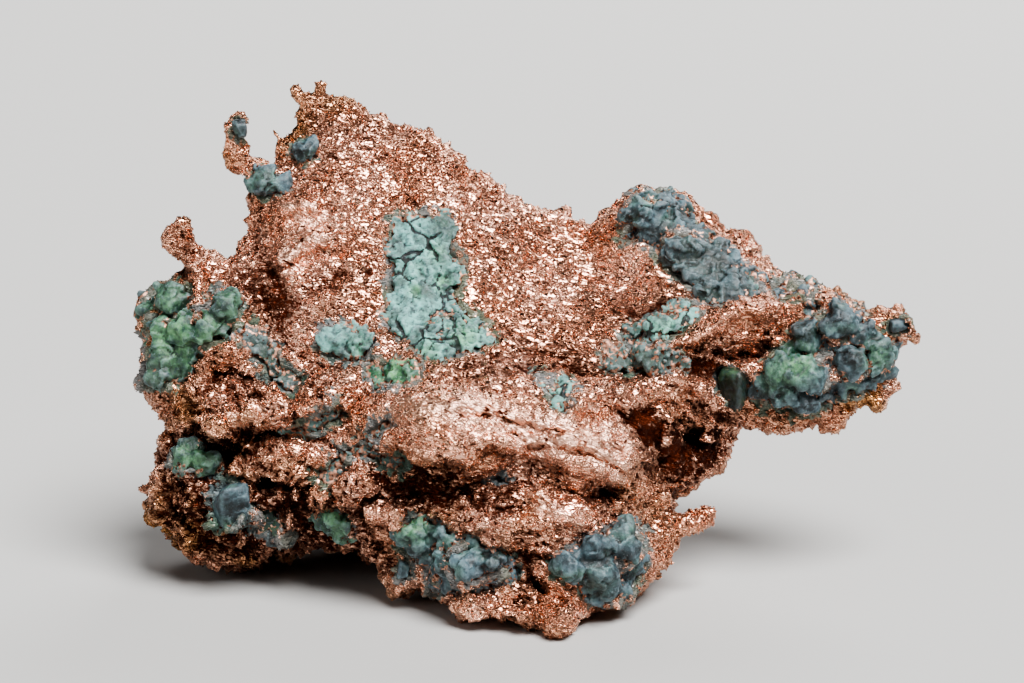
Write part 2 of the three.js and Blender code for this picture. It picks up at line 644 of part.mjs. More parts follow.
function backDepth(u, v) {
  const smooth = fromStations(u, v, DEPTH_STATIONS, 3) - reliefAt(u, v, BACK_RELIEF);
  const face = smooth - crinkle(u, v, CRINKLE_SLICE.back);
  return Math.max(roundOff(u, v, face), floorDepth(v));
}

const FRONT = { depth: frontDepth, outwards: 1 };
const BACK = { depth: backDepth, outwards: -1 };

// ---------------------------------------------------------------- copper

/** A tapering, knobbly, curled prong along a path. */
function prong({ path, root, tip }) {
  const steps = path.length + PRONG.extraSteps;
  const curve = new THREE.CatmullRomCurve3(path.map(([u, v, w]) => facePoint(u, v, w)));
  const corners = Array.from({ length: PRONG.sides }, (_, i) => {
    const angle = (2 * Math.PI * i) / PRONG.sides;
    return new THREE.Vector2(Math.cos(angle), Math.sin(angle)).multiplyScalar(root);
  });
  const geometry = new THREE.ExtrudeGeometry(new THREE.Shape(corners), { steps, extrudePath: curve });
  const stations = curve.getSpacedPoints(steps);
  const position = geometry.attributes.position;
  const point = new THREE.Vector3();
  for (let i = 0; i < position.count; i += 1) {
    point.fromBufferAttribute(position, i);
    const distances = stations.map((station) => station.distanceTo(point));
    const nearest = distances.indexOf(Math.min(...distances));
    const spot = point.clone().multiplyScalar(PRONG.knobsPerMm);
    const knob = 1 + 2 * PRONG.knobbliness * noise.noise(spot.x, spot.y, spot.z);
    const taper = THREE.MathUtils.lerp(1, tip / root, nearest / steps) * knob;
    point.sub(stations[nearest]).multiplyScalar(taper).add(stations[nearest]);
    position.setXYZ(i, point.x, point.y, point.z);
  }
  return solid(geometry);
}

/** A lobe whose lowest point just touches the floor. */
function foot([x, y, radiusX, radiusY, radiusZ]) {
  const geometry = new THREE.SphereGeometry(1, FOOT_FACETS.around, FOOT_FACETS.high);
  geometry.rotateX(Math.PI / 2);
  geometry.scale(radiusX, radiusY, radiusZ);
  geometry.translate(x, y, FLOOR_LEVEL + radiusZ);
  geometry.rotateX(FACE_LEAN);
  return solid(geometry);
}

function cave([u, v, below, radiusU, radiusV, radiusW]) {
  const centre = [u, v, frontDepth(u, v) - below];
  return pebble(new THREE.IcosahedronGeometry(1, 1), centre, [radiusU, radiusV, radiusW], CAVE_CRINKLE);
}

function copperMass(pockets) {
  let body = plate(MASS_OUTLINE, MASS_CELL, frontDepth, backDepth);
  PRONGS.forEach((item) => {
    body = body.add(prong(item));
  });
  FEET.forEach((item) => {
    body = body.add(foot(item));
  });
  CAVES.forEach((item) => {
    body = body.subtract(cave(item));
  });
  pockets.forEach((pocket) => {
    body = body.subtract(pocket);
  });
  return mainPiece(body);
}

// ---------------------------------------------------------------- minerals

/** A flat-bottomed plate set into a face, and the wider and deeper pocket it lies in. */
function bedPlate(outline, face, { rise, cell, overhang }) {
  const { depth, outwards } = face;
  const heights = outline.map(([u, v]) => outwards * depth(u, v));
  const floor = outwards * (Math.min(...heights) - BED_THICKNESS);
  const swell = (u, v) => Math.min(1, EDGE_SWELL + depthInside(u, v, outline) / SWELL_REACH);
  const top = (u, v) => depth(u, v) + outwards * rise * swell(u, v);
  const bottom = () => floor;
  const wide = grow(outline, GAP + overhang);
  const isFront = outwards > 0;
  return {
    body: isFront ? plate(outline, cell, top, bottom) : plate(outline, cell, bottom, top),
    pocket: isFront ? block(wide, floor - GAP, CUTTER_REACH) : block(wide, -CUTTER_REACH, floor + GAP),
  };
}

/** One crystal standing on a face, and the same crystal grown by the gap. */
function crystal([u, v, radiusU, radiusV, height], face) {
  const radiusW = 0.5 * (radiusU + radiusV);
  const w = face.depth(u, v) + face.outwards * height * radiusW;
  return crystalAt([u, v, w], [radiusU, radiusV, radiusW]);
}

function crystalAt(centre, radii) {
  const isLarge = radii[2] > LARGE_CRYSTAL;
  const blank = () => (isLarge ? new THREE.DodecahedronGeometry(1) : new THREE.IcosahedronGeometry(1));
  const grownRadii = radii.map((radius) => radius + GAP / FACET_REACH);
  return { body: pebble(blank(), centre, radii), pocket: pebble(blank(), centre, grownRadii) };
}

function join(parts) {
  return parts.reduce((whole, part) => ({
    body: whole.body.add(part.body),
    pocket: whole.pocket.add(part.pocket),
  }));
}

/** A crust plate with any nodules grown on it. */
function crust({ outline, path, width, nodules = [] }) {
  const edge = outline ?? stripOutline(path, width);
  const bed = bedPlate(edge, FRONT, CRUST_BED);
  return growOnBed(bed, nodules.map(([u, v, ru, rv]) => crystal([u, v, ru, rv, NODULE_HEIGHT], FRONT)));
}

/** Crystals on their bed plate, or a few crystals grown into each other without one. */
function crystalGroup({ bed, crystals, onBack }) {
  const face = onBack ? BACK : FRONT;
  const grown = crystals.map((item) => crystal(item, face));
  return bed ? growOnBed(bedPlate(bed, face, CRYSTAL_BED), grown) : join(grown);
}

function growOnBed(bed, grown) {
  return { body: grown.reduce((whole, part) => whole.add(part.body), bed.body), pocket: bed.pocket };
}

/** All minerals; each keeps clear of the ones before it. */
function minerals() {
  const wanted = [
    ...CRYSTAL_GROUPS.map((item) => ({ ...item, ...crystalGroup(item) })),
    ...CRUSTS.map((item) => ({ ...item, ...crust(item) })),
    {
      name: HOOK_CRYSTAL.name,
      material: BLUE_CRYSTAL,
      ...crystalAt(HOOK_CRYSTAL.centre, HOOK_CRYSTAL.radii),
    },
  ];
  let taken = null;
  return wanted.map(({ name, material, body, pocket }) => {
    const clear = mainPiece(taken ? body.subtract(taken) : body);
    taken = taken ? taken.add(pocket) : pocket;
    return { name, material, body: clear, pocket };
  });
}

// ---------------------------------------------------------------- assembly

function meshOf(name, body, { colour, roughness, metalness }) {
  const { vertProperties, triVerts } = body.getMesh();
  const geometry = new THREE.BufferGeometry();
  geometry.setAttribute('position', new THREE.BufferAttribute(new Float32Array(vertProperties), 3));
  geometry.setIndex(new THREE.BufferAttribute(new Uint32Array(triVerts), 1));
  geometry.rotateX(-FACE_LEAN);
  geometry.computeVertexNormals();
  const material = new THREE.MeshStandardMaterial({ color: colour, roughness, metalness });
  material.flatShading = true;
  const mesh = new THREE.Mesh(geometry, material);
  mesh.name = name;
  return mesh;
}

function buildNugget() {
  const grown = minerals();
  const group = new THREE.Group();
  group.name = 'native_copper_nugget';
  group.add(meshOf('copper_mass', copperMass(grown.map(({ pocket }) => pocket)), COPPER));
  grown.forEach(({ name, body, material }) => {
    group.add(meshOf(name, body, material));
  });
  const box = new THREE.Box3().setFromObject(group);
  const centre = box.getCenter(new THREE.Vector3());
  group.children.forEach((mesh) => {
    mesh.geometry.translate(-centre.x, -centre.y, -box.min.z);
  });
  return group;
}

export default buildNugget();
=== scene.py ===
import json
import math

import bmesh
import bpy
import numpy as np
from bpy.props import FloatProperty, FloatVectorProperty, IntProperty, PointerProperty
from mathutils import Matrix, Vector
from mathutils.kdtree import KDTree


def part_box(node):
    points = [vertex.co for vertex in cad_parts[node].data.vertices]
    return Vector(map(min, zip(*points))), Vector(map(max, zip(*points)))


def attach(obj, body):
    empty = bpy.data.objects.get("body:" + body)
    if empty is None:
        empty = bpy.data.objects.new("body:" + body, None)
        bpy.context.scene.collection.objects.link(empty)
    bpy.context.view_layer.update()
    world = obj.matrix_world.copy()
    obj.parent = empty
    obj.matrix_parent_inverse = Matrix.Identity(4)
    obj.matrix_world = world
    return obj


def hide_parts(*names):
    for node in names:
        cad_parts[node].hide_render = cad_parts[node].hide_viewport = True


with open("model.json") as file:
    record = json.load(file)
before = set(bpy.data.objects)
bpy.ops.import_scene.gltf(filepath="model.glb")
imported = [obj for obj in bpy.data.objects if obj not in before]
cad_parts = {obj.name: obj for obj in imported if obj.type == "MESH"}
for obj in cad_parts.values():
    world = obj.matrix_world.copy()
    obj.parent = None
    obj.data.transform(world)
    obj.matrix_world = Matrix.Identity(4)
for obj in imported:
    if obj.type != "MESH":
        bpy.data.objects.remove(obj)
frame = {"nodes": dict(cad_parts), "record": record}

bl_info = {
    "name": "Native copper nugget",
    "version": (1, 0, 0),
    "blender": (4, 5, 0),
    "location": "View3D > Sidebar > Nugget",
    "description": "Hackly native copper with blue-green crystals, on a pale studio floor",
    "category": "Object",
}

MM = 0.001  # metres in a millimetre
BODY = "root"  # the one rigid body everything rides on
COPPER_NODE = "copper_mass"
FINE_FACING = 0.5  # faces turned this far to the front get the finest points

# ------------------------------------------------------------------ the leaning face

FACE_LEAN = math.radians(15)  # the broad front face leans back this far
NOMINAL_WIDTH = 38.8  # mm; the width at which the strokes below were measured
ACROSS = np.array([1.0, 0.0, 0.0])
UP_FACE = np.array([0.0, math.sin(FACE_LEAN), math.cos(FACE_LEAN)])
OUT_OF_FACE = np.array([0.0, -math.cos(FACE_LEAN), math.sin(FACE_LEAN)])

# Every place below is given in mm across from the middle of the copper's box and up the leaning face
# from its lowest point. A path is a line through such places, and its reach is in mm too.

# The bright folded ridge across the middle.
BOW = [(-6.0, 11.2), (-3, 10.9), (0, 10.3), (2.4, 9.4), (4.4, 8.9)]

# Where the copper is folded smooth instead of hackly: a path and its reach. There it is also
# painted a lighter copper, a painted sheen.
SATIN_PLACES = [
    (BOW, 1.1),
    ([(-12.5, 18.4), (-11.6, 19.2), (-10.4, 20.0)], 0.7),
    ([(4.6, 10.4), (6.2, 9.6), (7.2, 8.8)], 0.8),
    ([(-12.4, 21.1), (-11.2, 21.4)], 0.35),
    ([(-14.8, 10.9), (-13.2, 11.2), (-12.3, 11.3)], 0.35),
    ([(0.2, 6.9), (1.3, 6.4)], 0.4),
]

# Strokes that shape the copper's front face: a path, how far it rises or sinks in mm, and its reach.
FRONT_STROKES = [
    # the bright folded ridge across the middle, with thin cracks along it
    ([(-5.2, 9.6), (-2, 9.5), (1, 9.0), (4.0, 8.6)], 1.0, 1.3),
    ([(-6.6, 7.9), (-3.6, 7.5), (-0.6, 7.8), (2.6, 7.3), (5, 7)], -0.15, 0.45),
    ([(-3.4, 12.9), (0, 13.3), (3.6, 13.0), (7.6, 12.9)], -0.35, 0.6),
    ([(-0.8, 9.9), (0.8, 10.2), (2.2, 9.8)], -0.45, 0.14),
    ([(0.2, 8.9), (2.0, 9.1), (3.8, 8.5)], -0.5, 0.15),
    ([(-3.4, 10.6), (-1.6, 10.9), (0.2, 10.4)], -0.4, 0.14),
    ([(1.8, 9.4), (3.2, 9.2), (4.6, 8.4)], 0.35, 0.25),
    ([(1.4, 8.4), (3.0, 8.2), (4.4, 7.6)], 0.3, 0.22),
    ([(-5.4, 8.4), (-3.6, 8.3), (-1.8, 8.9), (-0.6, 8.5)], -0.45, 0.3),
    ([(1.6, 12.9), (4.2, 12.3), (6.6, 12.4)], -0.3, 0.3),
    # the swelling below it and its brown furrow
    ([(-1.8, 7), (0.6, 7), (2.2, 6.3)], 0.5, 0.6),
    ([(-6.6, 7.4), (-4, 7.0), (-1.8, 6.2), (-0.4, 5)], 0.35, 0.6),
    ([(-0.6, 4.8), (-0.3, 3.4), (0.2, 2.4)], -0.6, 0.35),
    ([(-6.5, 6.6), (-4.6, 6.3), (-2.6, 5.6)], 0.45, 0.35),
    # ledges on the left, one above the other, with deep furrows under them
    ([(-18.3, 10.2), (-16, 10.3), (-14, 10.7), (-12, 11), (-9.6, 11.5)], 0.65, 0.35),
    ([(-18, 9.4), (-15.6, 9.3), (-13.6, 9.7), (-11.4, 10)], -0.9, 0.4),
    ([(-13.4, 8.5), (-11.6, 8.8), (-9.8, 8.4), (-8.2, 7.8)], 0.5, 0.32),
    ([(-14, 7.7), (-12, 7.8), (-10, 7.3)], -0.7, 0.32),
    ([(-13.6, 6.9), (-11, 7.1), (-8.6, 6.8), (-6.8, 6.2)], 0.5, 0.32),
    ([(-12.6, 6.2), (-10.6, 6.3), (-8.4, 6.1)], -0.5, 0.28),
    ([(-18.6, 12), (-16.2, 11.5), (-13.6, 11.9), (-11.4, 11.6)], 0.4, 0.35),
    ([(-16.4, 12.3), (-14.6, 12.6), (-13.2, 12.2)], -0.5, 0.3),
    ([(-12.6, 13.2), (-10.8, 12.9), (-8.6, 12.9)], 0.4, 0.35),
    ([(-11.8, 12.2), (-9.8, 12.1), (-7.6, 11.7)], -0.4, 0.25),
    # a blade of copper over the crystals at the left
    ([(-16.5, 17.9), (-16.2, 16.9), (-16.9, 16.0)], 1.2, 0.32),
    # smooth bright flakes and the step at the left of the top plate
    ([(-12.6, 18.3), (-11.6, 19.2), (-10, 20.1)], 0.75, 0.55),
    ([(-12.3, 21.1), (-11.1, 21.4)], 0.35, 0.35),
    ([(-12.9, 17.9), (-11.4, 18.3), (-9.6, 19.4)], -0.4, 0.25),
    ([(-14, 19.6), (-13.2, 18.4), (-12.6, 16.8)], -0.4, 0.4),
    ([(-10.4, 16), (-9, 17.4), (-8.6, 19.6)], 0.3, 0.6),
    ([(-7.4, 23.6), (-6.6, 22.6), (-6.4, 21.4)], -0.45, 0.35),
    # ridges and shadowed overhang of the right arm
    ([(2, 11.4), (4.8, 11.8), (7, 12.4), (8.6, 12.1)], 0.5, 0.4),
    ([(2.2, 10.6), (5, 10.9), (8.2, 11.3)], -0.35, 0.3),
    ([(6.4, 14.3), (8, 14.9), (10, 15.9), (12.6, 16.4), (15, 16.4)], 0.6, 0.4),
    ([(8.4, 14.2), (10.4, 14.9), (13.4, 15)], -0.2, 0.3),
    ([(8.8, 13.2), (11, 13.9), (12.4, 14.1)], -0.2, 0.4),
    ([(7.0, 15.3), (9.0, 15.9), (11.4, 16.4)], -0.3, 0.2),
    ([(7.6, 13.6), (9.6, 14.0), (11.2, 14.6)], 0.5, 0.3),
    ([(4.8, 10.2), (5.8, 9.4), (6.4, 8.2)], -0.7, 0.5),
    ([(7.4, 10.4), (7.9, 9.2)], -0.9, 0.4),
    ([(2.4, 7.6), (4.6, 7.4), (6.4, 6.6)], 0.4, 0.45),
    ([(2.6, 6.6), (3.6, 6.8)], -0.8, 0.3),
    # the shallow saddle at the top
    ([(-1.6, 20.6), (1, 18.6), (4.2, 17.6)], -0.3, 1.4),
    ([(0.6, 15.6), (3, 15.4), (5.2, 15.9)], 0.25, 0.5),
]

# Hollows under the right arm's ridge that are only shallow: across, up, half width and half height.
PLUGGED_HOLLOWS = [
    (10.4, 14.2, 2.4, 1.0),
    (8.6, 13.9, 1.4, 0.9),
]
PLUG_DEPTH = 0.6  # mm from the lip under a hollow back to the lump that fills it

# Where the copper is darkened, by tarnish with painted shade, or painted lighter, a painted highlight,
# where the strength is negative: a path, its reach and its strength.
TARNISH_AND_SHADE_PLACES = [
    ([(-15.5, 6.2), (-13, 6.8), (-10, 6.6)], 2.6, 0.6),
    ([(-17.4, 9.2), (-13.6, 9.4)], 1.3, 0.7),
    ([(-17.8, 7.0), (-14.6, 5.4), (-12, 5.6)], 2.6, 0.35),
    ([(-18.2, 5.2), (-15.4, 3.8), (-12, 3.6), (-9, 4.4)], 1.6, 0.4),
    ([(4.8, 15.0), (6.8, 15.6), (7.6, 15.2)], 0.5, 0.9),
    ([(-18.6, 18.6), (-17.4, 18.0), (-16.8, 19.6)], 0.9, 0.5),
    ([(-16.6, 12.6), (-13.6, 13.2), (-11, 12.2)], 1.5, 0.45),
    ([(-13.8, 17.2), (-12.6, 15.8)], 1.2, 0.6),
    ([(-7.4, 7.2), (-4, 6.9), (-1.2, 6.6)], 1.1, 0.85),
    ([(-0.6, 4.6), (0.2, 2.8)], 0.9, 0.6),
    ([(5.4, 10.2), (7.6, 10.0), (8.4, 8.6), (6.2, 8.0)], 1.0, 0.75),
    ([(4.6, 10.6), (5.6, 10.0), (6.4, 9.0)], 0.9, 0.8),
    ([(-13.8, 21.6), (-13.4, 18.8), (-12.8, 16.2)], 0.9, 0.35),
    ([(-11.2, 17.6), (-9.4, 18.2), (-8.4, 17.6)], 0.6, 0.4),
    ([(2.6, 6.6), (3.8, 6.9)], 0.6, 0.6),
    ([(-3.6, 12.9), (0, 13.4), (4, 13.0), (9, 13.2)], 0.7, 0.55),
    ([(8.4, 13.4), (10.6, 13.4), (12.2, 13.6)], 1.0, 0.45),
    ([(4.6, 15.8), (6.6, 16.2)], 0.6, 0.8),
    ([(9.4, 10.2), (9, 8.8)], 1.2, 0.7),
    ([(-9.4, 13.2), (-8, 13.4), (-7.6, 12.2)], 0.6, 0.4),
    ([(-10.4, 26.4), (-11.6, 24.6), (-9, 25.4), (-6, 24.8)], 1.3, 0.35),
    ([(-11.5, 16.3), (-9.6, 17.2), (-9.4, 15.8)], 0.8, 0.3),
    ([(-6.2, 11.2), (-2.4, 11.3), (1, 10.4), (4.2, 9.4)], 1.5, -0.75),
    ([(-7.2, 9.9), (-5, 9.6)], 0.8, -0.3),
    ([(0.2, 6.9), (1.2, 6.5)], 0.8, -0.6),
    ([(-1.4, 5.4), (-0.6, 4.6)], 0.6, -0.4),
    ([(3.6, 10.4), (5.6, 11.4), (8, 11.9)], 0.5, -0.5),
    ([(-12.4, 18.4), (-11, 19.6)], 0.85, -0.9),
    ([(-11.8, 21.2), (-11.4, 21.5)], 0.5, -0.6),
    ([(-5, 22.6), (-1, 20), (3, 17), (8, 15.8)], 3.0, -0.12),
    ([(6.4, 14.4), (9, 15.6), (12.6, 16.5), (15, 16.6)], 0.7, -0.45),
    ([(-18, 10.6), (-15, 10.8), (-12, 11.2), (-9, 11.8)], 0.6, -0.5),
    ([(-13.4, 8.8), (-11, 9), (-8.6, 8.2)], 0.5, -0.4),
    ([(-13, 7.2), (-10, 7.4), (-7, 6.6)], 0.5, -0.3),
    ([(-19, 6.8), (-18, 5.4), (-15.6, 4.0)], 0.6, -0.3),
]

# Places where the minerals turn green: across, up, reach and strength.
GREEN_PLACES = [
    (13.1, 13.4, 1.0, 1.0),
    (12.3, 12.6, 0.9, 0.7),
    (17.2, 13.7, 0.8, 0.6),
    (-17.6, 14.5, 1.9, 0.8),
    (-16.6, 13.2, 1.0, 0.9),
    (-5.7, 16.9, 0.35, 1.0),
    (-4.3, 17.3, 0.5, 0.9),
    (-4.6, 18.8, 0.6, 0.6),
    (-4.2, 20.3, 0.5, 0.5),
    (-3.4, 14.7, 0.9, 0.8),
    (-5.0, 13.9, 0.6, 0.7),
    (-8.4, 14.0, 0.8, 0.6),
    (-6.6, 12.7, 1.6, 1.0),
    (-5.8, 5.4, 0.9, 0.9),
    (6.6, 15.2, 1.0, 0.5),
    (-16.9, 8.7, 1.0, 0.6),
    (-9.6, 5.6, 1.0, 0.6),
    (1.0, 12.0, 0.8, 0.3),
    (-12.8, 13.2, 1.2, 0.5),
    (5.3, 13.6, 1.2, 0.4),
]

# Places where the minerals turn dull and dark: across, up, reach and strength.
DULL_PLACES = [
    (-4.3, 20.2, 0.7, 1.0),
    (-4.0, 18.7, 0.6, 0.8),
    (-5.2, 17.0, 0.4, 0.8),
    (-9.1, 13.6, 0.8, 0.7),
    (-5.2, 12.4, 0.8, 0.7),
    (5.2, 15.4, 0.7, 0.7),
    (8.0, 17.6, 2.2, 0.6),
    (10.0, 17.2, 1.0, 0.5),
    (-18.8, 12.8, 1.0, 0.7),
]

# ------------------------------------------------------------------ kinds of mineral piece

slots = {part["node"]: part["material_slot"] for part in frame["record"]["subparts"]}

# crusts cracked like dry paint
CRACKED_CRUSTS = ("crust_centre", "crust_centre_right", "crust_right_lens")
# a crust of crystals grown into each other
LUMPY_CRUSTS = ("crust_upper_right",)
# thin films that let the copper through
FILM_CRUSTS = ("crust_groove", "crust_arc", "crust_ledge_strip", "crust_short_strip", "crust_left_strip")
# crusts that lie level with the copper
FLUSH_CRUSTS = (*FILM_CRUSTS, "crust_centre_left", "crust_right_lens", "crust_green_seam")
# a crystal worn round in its pocket
ROUNDED_CRYSTAL = "crystal_dark_pocket"
# how much bigger than usual a group's crystals are
CRYSTAL_SIZES = {
    "crystals_left": 0.75,
    "crystals_right": 1.15,
    "crystals_lower_right": 1.35,
    "crystals_lower_middle": 1.1,
    "crust_upper_right": 0.8,
}
# how dull and dark a crust is all over, from 0 to 1
DULL_CRUSTS = {
    "crust_groove": 1.0,
    "crust_arc": 0.9,
    "crust_ledge_strip": 0.8,
    "crust_short_strip": 0.7,
    "crust_left_strip": 0.8,
    "crust_centre_left": 0.2,
    "crust_small_patch": 0.3,
}

# ------------------------------------------------------------------ settings a user changes


def hex_colour(code):
    """Linear RGBA from an sRGB hex code."""
    parts = [int(code[i : i + 2], 16) / 255 for i in (1, 3, 5)]
    linear = [c / 12.92 if c <= 0.04045 else ((c + 0.055) / 1.055) ** 2.4 for c in parts]
    return (*linear, 1.0)


def colour_setting(name, description, code):
    """A colour that the user can change, given as an sRGB hex code."""
    return FloatVectorProperty(
        name=name,
        description=description,
        default=hex_colour(code),
        size=4,
        min=0.0,
        max=1.0,
        subtype="COLOR",
    )


def length_setting(name, description, millimetres):
    """A length that the user can change."""
    return FloatProperty(
        name=name,
        description=description,
        default=millimetres * MM,
        min=0.0,
        unit="LENGTH",
        subtype="DISTANCE",
    )


def count_setting(name, description, count):
    """A number of grains that the user can change, up to what one piece may hold."""
    return IntProperty(name=name, description=description, default=count, min=1, max=24000)


class NuggetSettings(bpy.types.PropertyGroup):
    """Sizes and colours of the nugget."""

    copper_grain: length_setting("Copper grain", "Width of one hackly copper facet", 0.15)
    copper_cell: length_setting("Copper detail", "Spacing of the copper's points on the back", 0.265)
    copper_relief: length_setting("Copper relief", "Height of the crumpled copper relief", 0.42)
    mineral_cell: length_setting("Mineral detail", "Spacing of the minerals' surface points", 0.087)
    crystal_radius: length_setting("Crystal radius", "Typical radius of a small crystal", 0.33)
    front_grains: count_setting("Front grains", "Number of copper grains on the front", 22000)
    back_grains: count_setting("Back grains", "Number of copper grains on the back", 16000)
    copper: colour_setting("Copper", "Fresh copper", "#F9C4AA")
    # the tarnish brown also paints the shade in hollows, crevices and pits
    tarnish: colour_setting("Tarnish", "Brown tarnish in the hollows", "#5E2C1C")
    gilt: colour_setting("Gilt tarnish", "Golden tarnish along exposed rims", "#B98550")
    blue: colour_setting("Blue crystal", "Grey-blue crystals", "#151A1C")
    green: colour_setting("Green crystal", "Green of the crevices", "#144A30")
    pale: colour_setting("Pale crust", "Pale blue-green crust", "#58756F")


# ------------------------------------------------------------------ noise


def lattice(ix, iy, iz, seed):
    """A number from 0 to 1 for each lattice point, scrambled by large odd numbers."""
    h = (ix * 374761393 + iy * 668265263 + iz * 2147483647 + seed * 974634777) & 0xFFFFFFFF
    h = ((h ^ (h >> 13)) * 1274126177) & 0xFFFFFFFF
    h = ((h ^ (h >> 16)) * 2246822519) & 0xFFFFFFFF
    return ((h ^ (h >> 15)) & 0xFFFFFF) / float(0x1000000)


def smooth_noise(p, wave, seed):
    """Value noise from -1 to 1 with the given wavelength, in the units of p."""
    q = p / wave
    base = np.floor(q).astype(np.int64)
    f = q - base
    f = f * f * f * (f * (f * 6 - 15) + 10)
    total = np.zeros(len(p))
    for corner in range(8):
        step = np.array([corner & 1, (corner >> 1) & 1, corner >> 2])
        weight = np.prod(np.where(step, f, 1 - f), axis=1)
        at = base + step
        total += weight * lattice(at[:, 0], at[:, 1], at[:, 2], seed)
    return 2 * total - 1


def layered_noise(p, wave, layers, seed):
    """Several octaves of noise, each half the wavelength and half the height."""
    total = sum(0.5**i * smooth_noise(p, wave * 0.5**i, seed + i) for i in range(layers))
    return total / (2 - 0.5 ** (layers - 1))


def ridged_noise(p, wave, layers, seed):
    """Sharp crests between rounded hollows, from -1 to 1."""
    total = np.zeros(len(p))
    for i in range(layers):
        crest = 1 - 2 * np.abs(smooth_noise(p, wave * 0.5**i, seed + 11 * i))
        total += 0.5**i * crest
    return total / (2 - 0.5 ** (layers - 1))


def cells(p, width, seed):
    """Gaps to the nearest and second nearest cell middle, and a slope that differs in each cell."""
    q = p / width
    base = np.floor(q).astype(np.int64)
    near = np.full(len(p), 9.0)
    second = np.full(len(p), 9.0)
    slope = np.zeros(len(p))
    for dx in (-1, 0, 1):
        for dy in (-1, 0, 1):
            for dz in (-1, 0, 1):
                at = base + np.array([dx, dy, dz])
                x, y, z = at.T
                spot = np.stack([lattice(x, y, z, seed + k) for k in range(3)], axis=1)
                offset = q - at - spot
                gap = np.linalg.norm(offset, axis=1)
                closer = gap < near
                second = np.where(closer, near, np.minimum(second, gap))
                lean = np.stack([2 * lattice(x, y, z, seed + 7 + k) - 1 for k in range(3)], axis=1)
                slope = np.where(closer, np.sum(offset * lean, axis=1), slope)
                near = np.where(closer, gap, near)
    return near, second, slope


def wandering(points, wave, reach, seed):
    """Points moved about by soft noise, so that what is drawn on them turns ragged."""
    shift = [smooth_noise(points, wave, seed + i) for i in range(3)]
    return points + reach * np.stack(shift, axis=1)


# ------------------------------------------------------------------ points and meshes


class Skin:
    """The points, normals and edges of a mesh, in millimetres."""

    def __init__(self, mesh):
        count = len(mesh.vertices)
        self.mesh = mesh
        self.points = np.empty(count * 3)
        mesh.vertices.foreach_get("co", self.points)
        self.points = self.points.reshape(-1, 3) / MM
        edges = np.empty(len(mesh.edges) * 2, dtype=np.int64)
        mesh.edges.foreach_get("vertices", edges)
        self.edges = edges.reshape(-1, 2)
        self.degree = np.bincount(self.edges.ravel(), minlength=count).clip(1)

    def store(self):
        """Writes the points back to the mesh."""
        self.mesh.vertices.foreach_set("co", (self.points * MM).ravel())
        self.mesh.update()

    def normals(self):
        """The direction each point of the surface faces."""
        self.store()
        values = np.empty(len(self.points) * 3)
        self.mesh.vertex_normals.foreach_get("vector", values)
        return values.reshape(-1, 3)

    def averaged(self, values, rounds):
        """Values spread along the edges, once per round."""
        a, b = self.edges[:, 0], self.edges[:, 1]
        columns = values if values.ndim == 2 else values[:, None]
        for _ in range(rounds):
            total = np.stack(
                [
                    np.bincount(a, weights=column[b], minlength=len(column))
                    + np.bincount(b, weights=column[a], minlength=len(column))
                    for column in columns.T
                ],
                axis=1,
            )
            columns = 0.5 * columns + 0.5 * total / self.degree[:, None]
        return columns if values.ndim == 2 else columns[:, 0]

    def soften(self, rounds):
        """Wears down edges and tips."""
        self.points = self.averaged(self.points, rounds)

    def hollowness(self, rounds):
        """How far each point lies below the general surface, in mm; negative on crests."""
        return np.sum((self.averaged(self.points, rounds) - self.points) * self.normals(), axis=1)

    def set_value(self, name, values):
        """Keeps one number for each point, which a material reads by its name."""
        layer = self.mesh.attributes.new(name, "FLOAT", "POINT")
        layer.data.foreach_set("value", np.asarray(values, dtype=np.float32))


def face_places(points):
    """Distances across, up and out of the leaning face, in nominal mm of the copper's box."""
    low, high = (np.array(corner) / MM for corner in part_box(COPPER_NODE))
    scale = NOMINAL_WIDTH / (high[0] - low[0])
    source = frame["nodes"][COPPER_NODE].data
    corners = np.array([v.co[:] for v in source.vertices]) / MM
    across = (points @ ACROSS - (low[0] + high[0]) / 2) * scale
    up = (points @ UP_FACE - np.min(corners @ UP_FACE)) * scale
    out = points @ OUT_OF_FACE * scale
    return across, up, out


def distance_to_path(across, up, path):
    """Distance of each place from the nearest line of the path."""
    nearest = np.full(len(across), 1e9)
    for (ax, ay), (bx, by) in zip(path, path[1:]):
        dx, dy = bx - ax, by - ay
        t = np.clip(((across - ax) * dx + (up - ay) * dy) / (dx * dx + dy * dy), 0, 1)
        nearest = np.minimum(nearest, np.hypot(across - ax - t * dx, up - ay - t * dy))
    return nearest


def closeness_to_path(across, up, path, reach):
    """One on the path, fading softly away from it."""
    return np.exp(-((distance_to_path(across, up, path) / reach) ** 2))


def nearest_of(points, places):
    """Index of the place nearest each point, and the gap to it."""
    tree = KDTree(len(places))
    for i, place in enumerate(places):
        tree.insert(place, i)
    tree.balance()
    found = [tree.find(point) for point in points]
    return np.array([f[1] for f in found]), np.array([f[2] for f in found])


def without_crumbs(mesh, least_share):
    """Drops loose bits with fewer than the given share of the mesh's points."""
    bm = bmesh.new()
    bm.from_mesh(mesh)
    bm.verts.ensure_lookup_table()
    seen = np.zeros(len(bm.verts), dtype=bool)
    crumbs = []
    for start in bm.verts:
        if seen[start.index]:
            continue
        seen[start.index] = True
        bit, waiting = [start], [start]
        while waiting:
            for edge in waiting.pop().link_edges:
                for vert in edge.verts:
                    if not seen[vert.index]:
                        seen[vert.index] = True
                        bit.append(vert)
                        waiting.append(vert)
        if len(bit) < least_share * len(bm.verts):
            crumbs += bit
    bmesh.ops.delete(bm, geom=crumbs, context="VERTS")
    bm.to_mesh(mesh)
    bm.free()
    return mesh


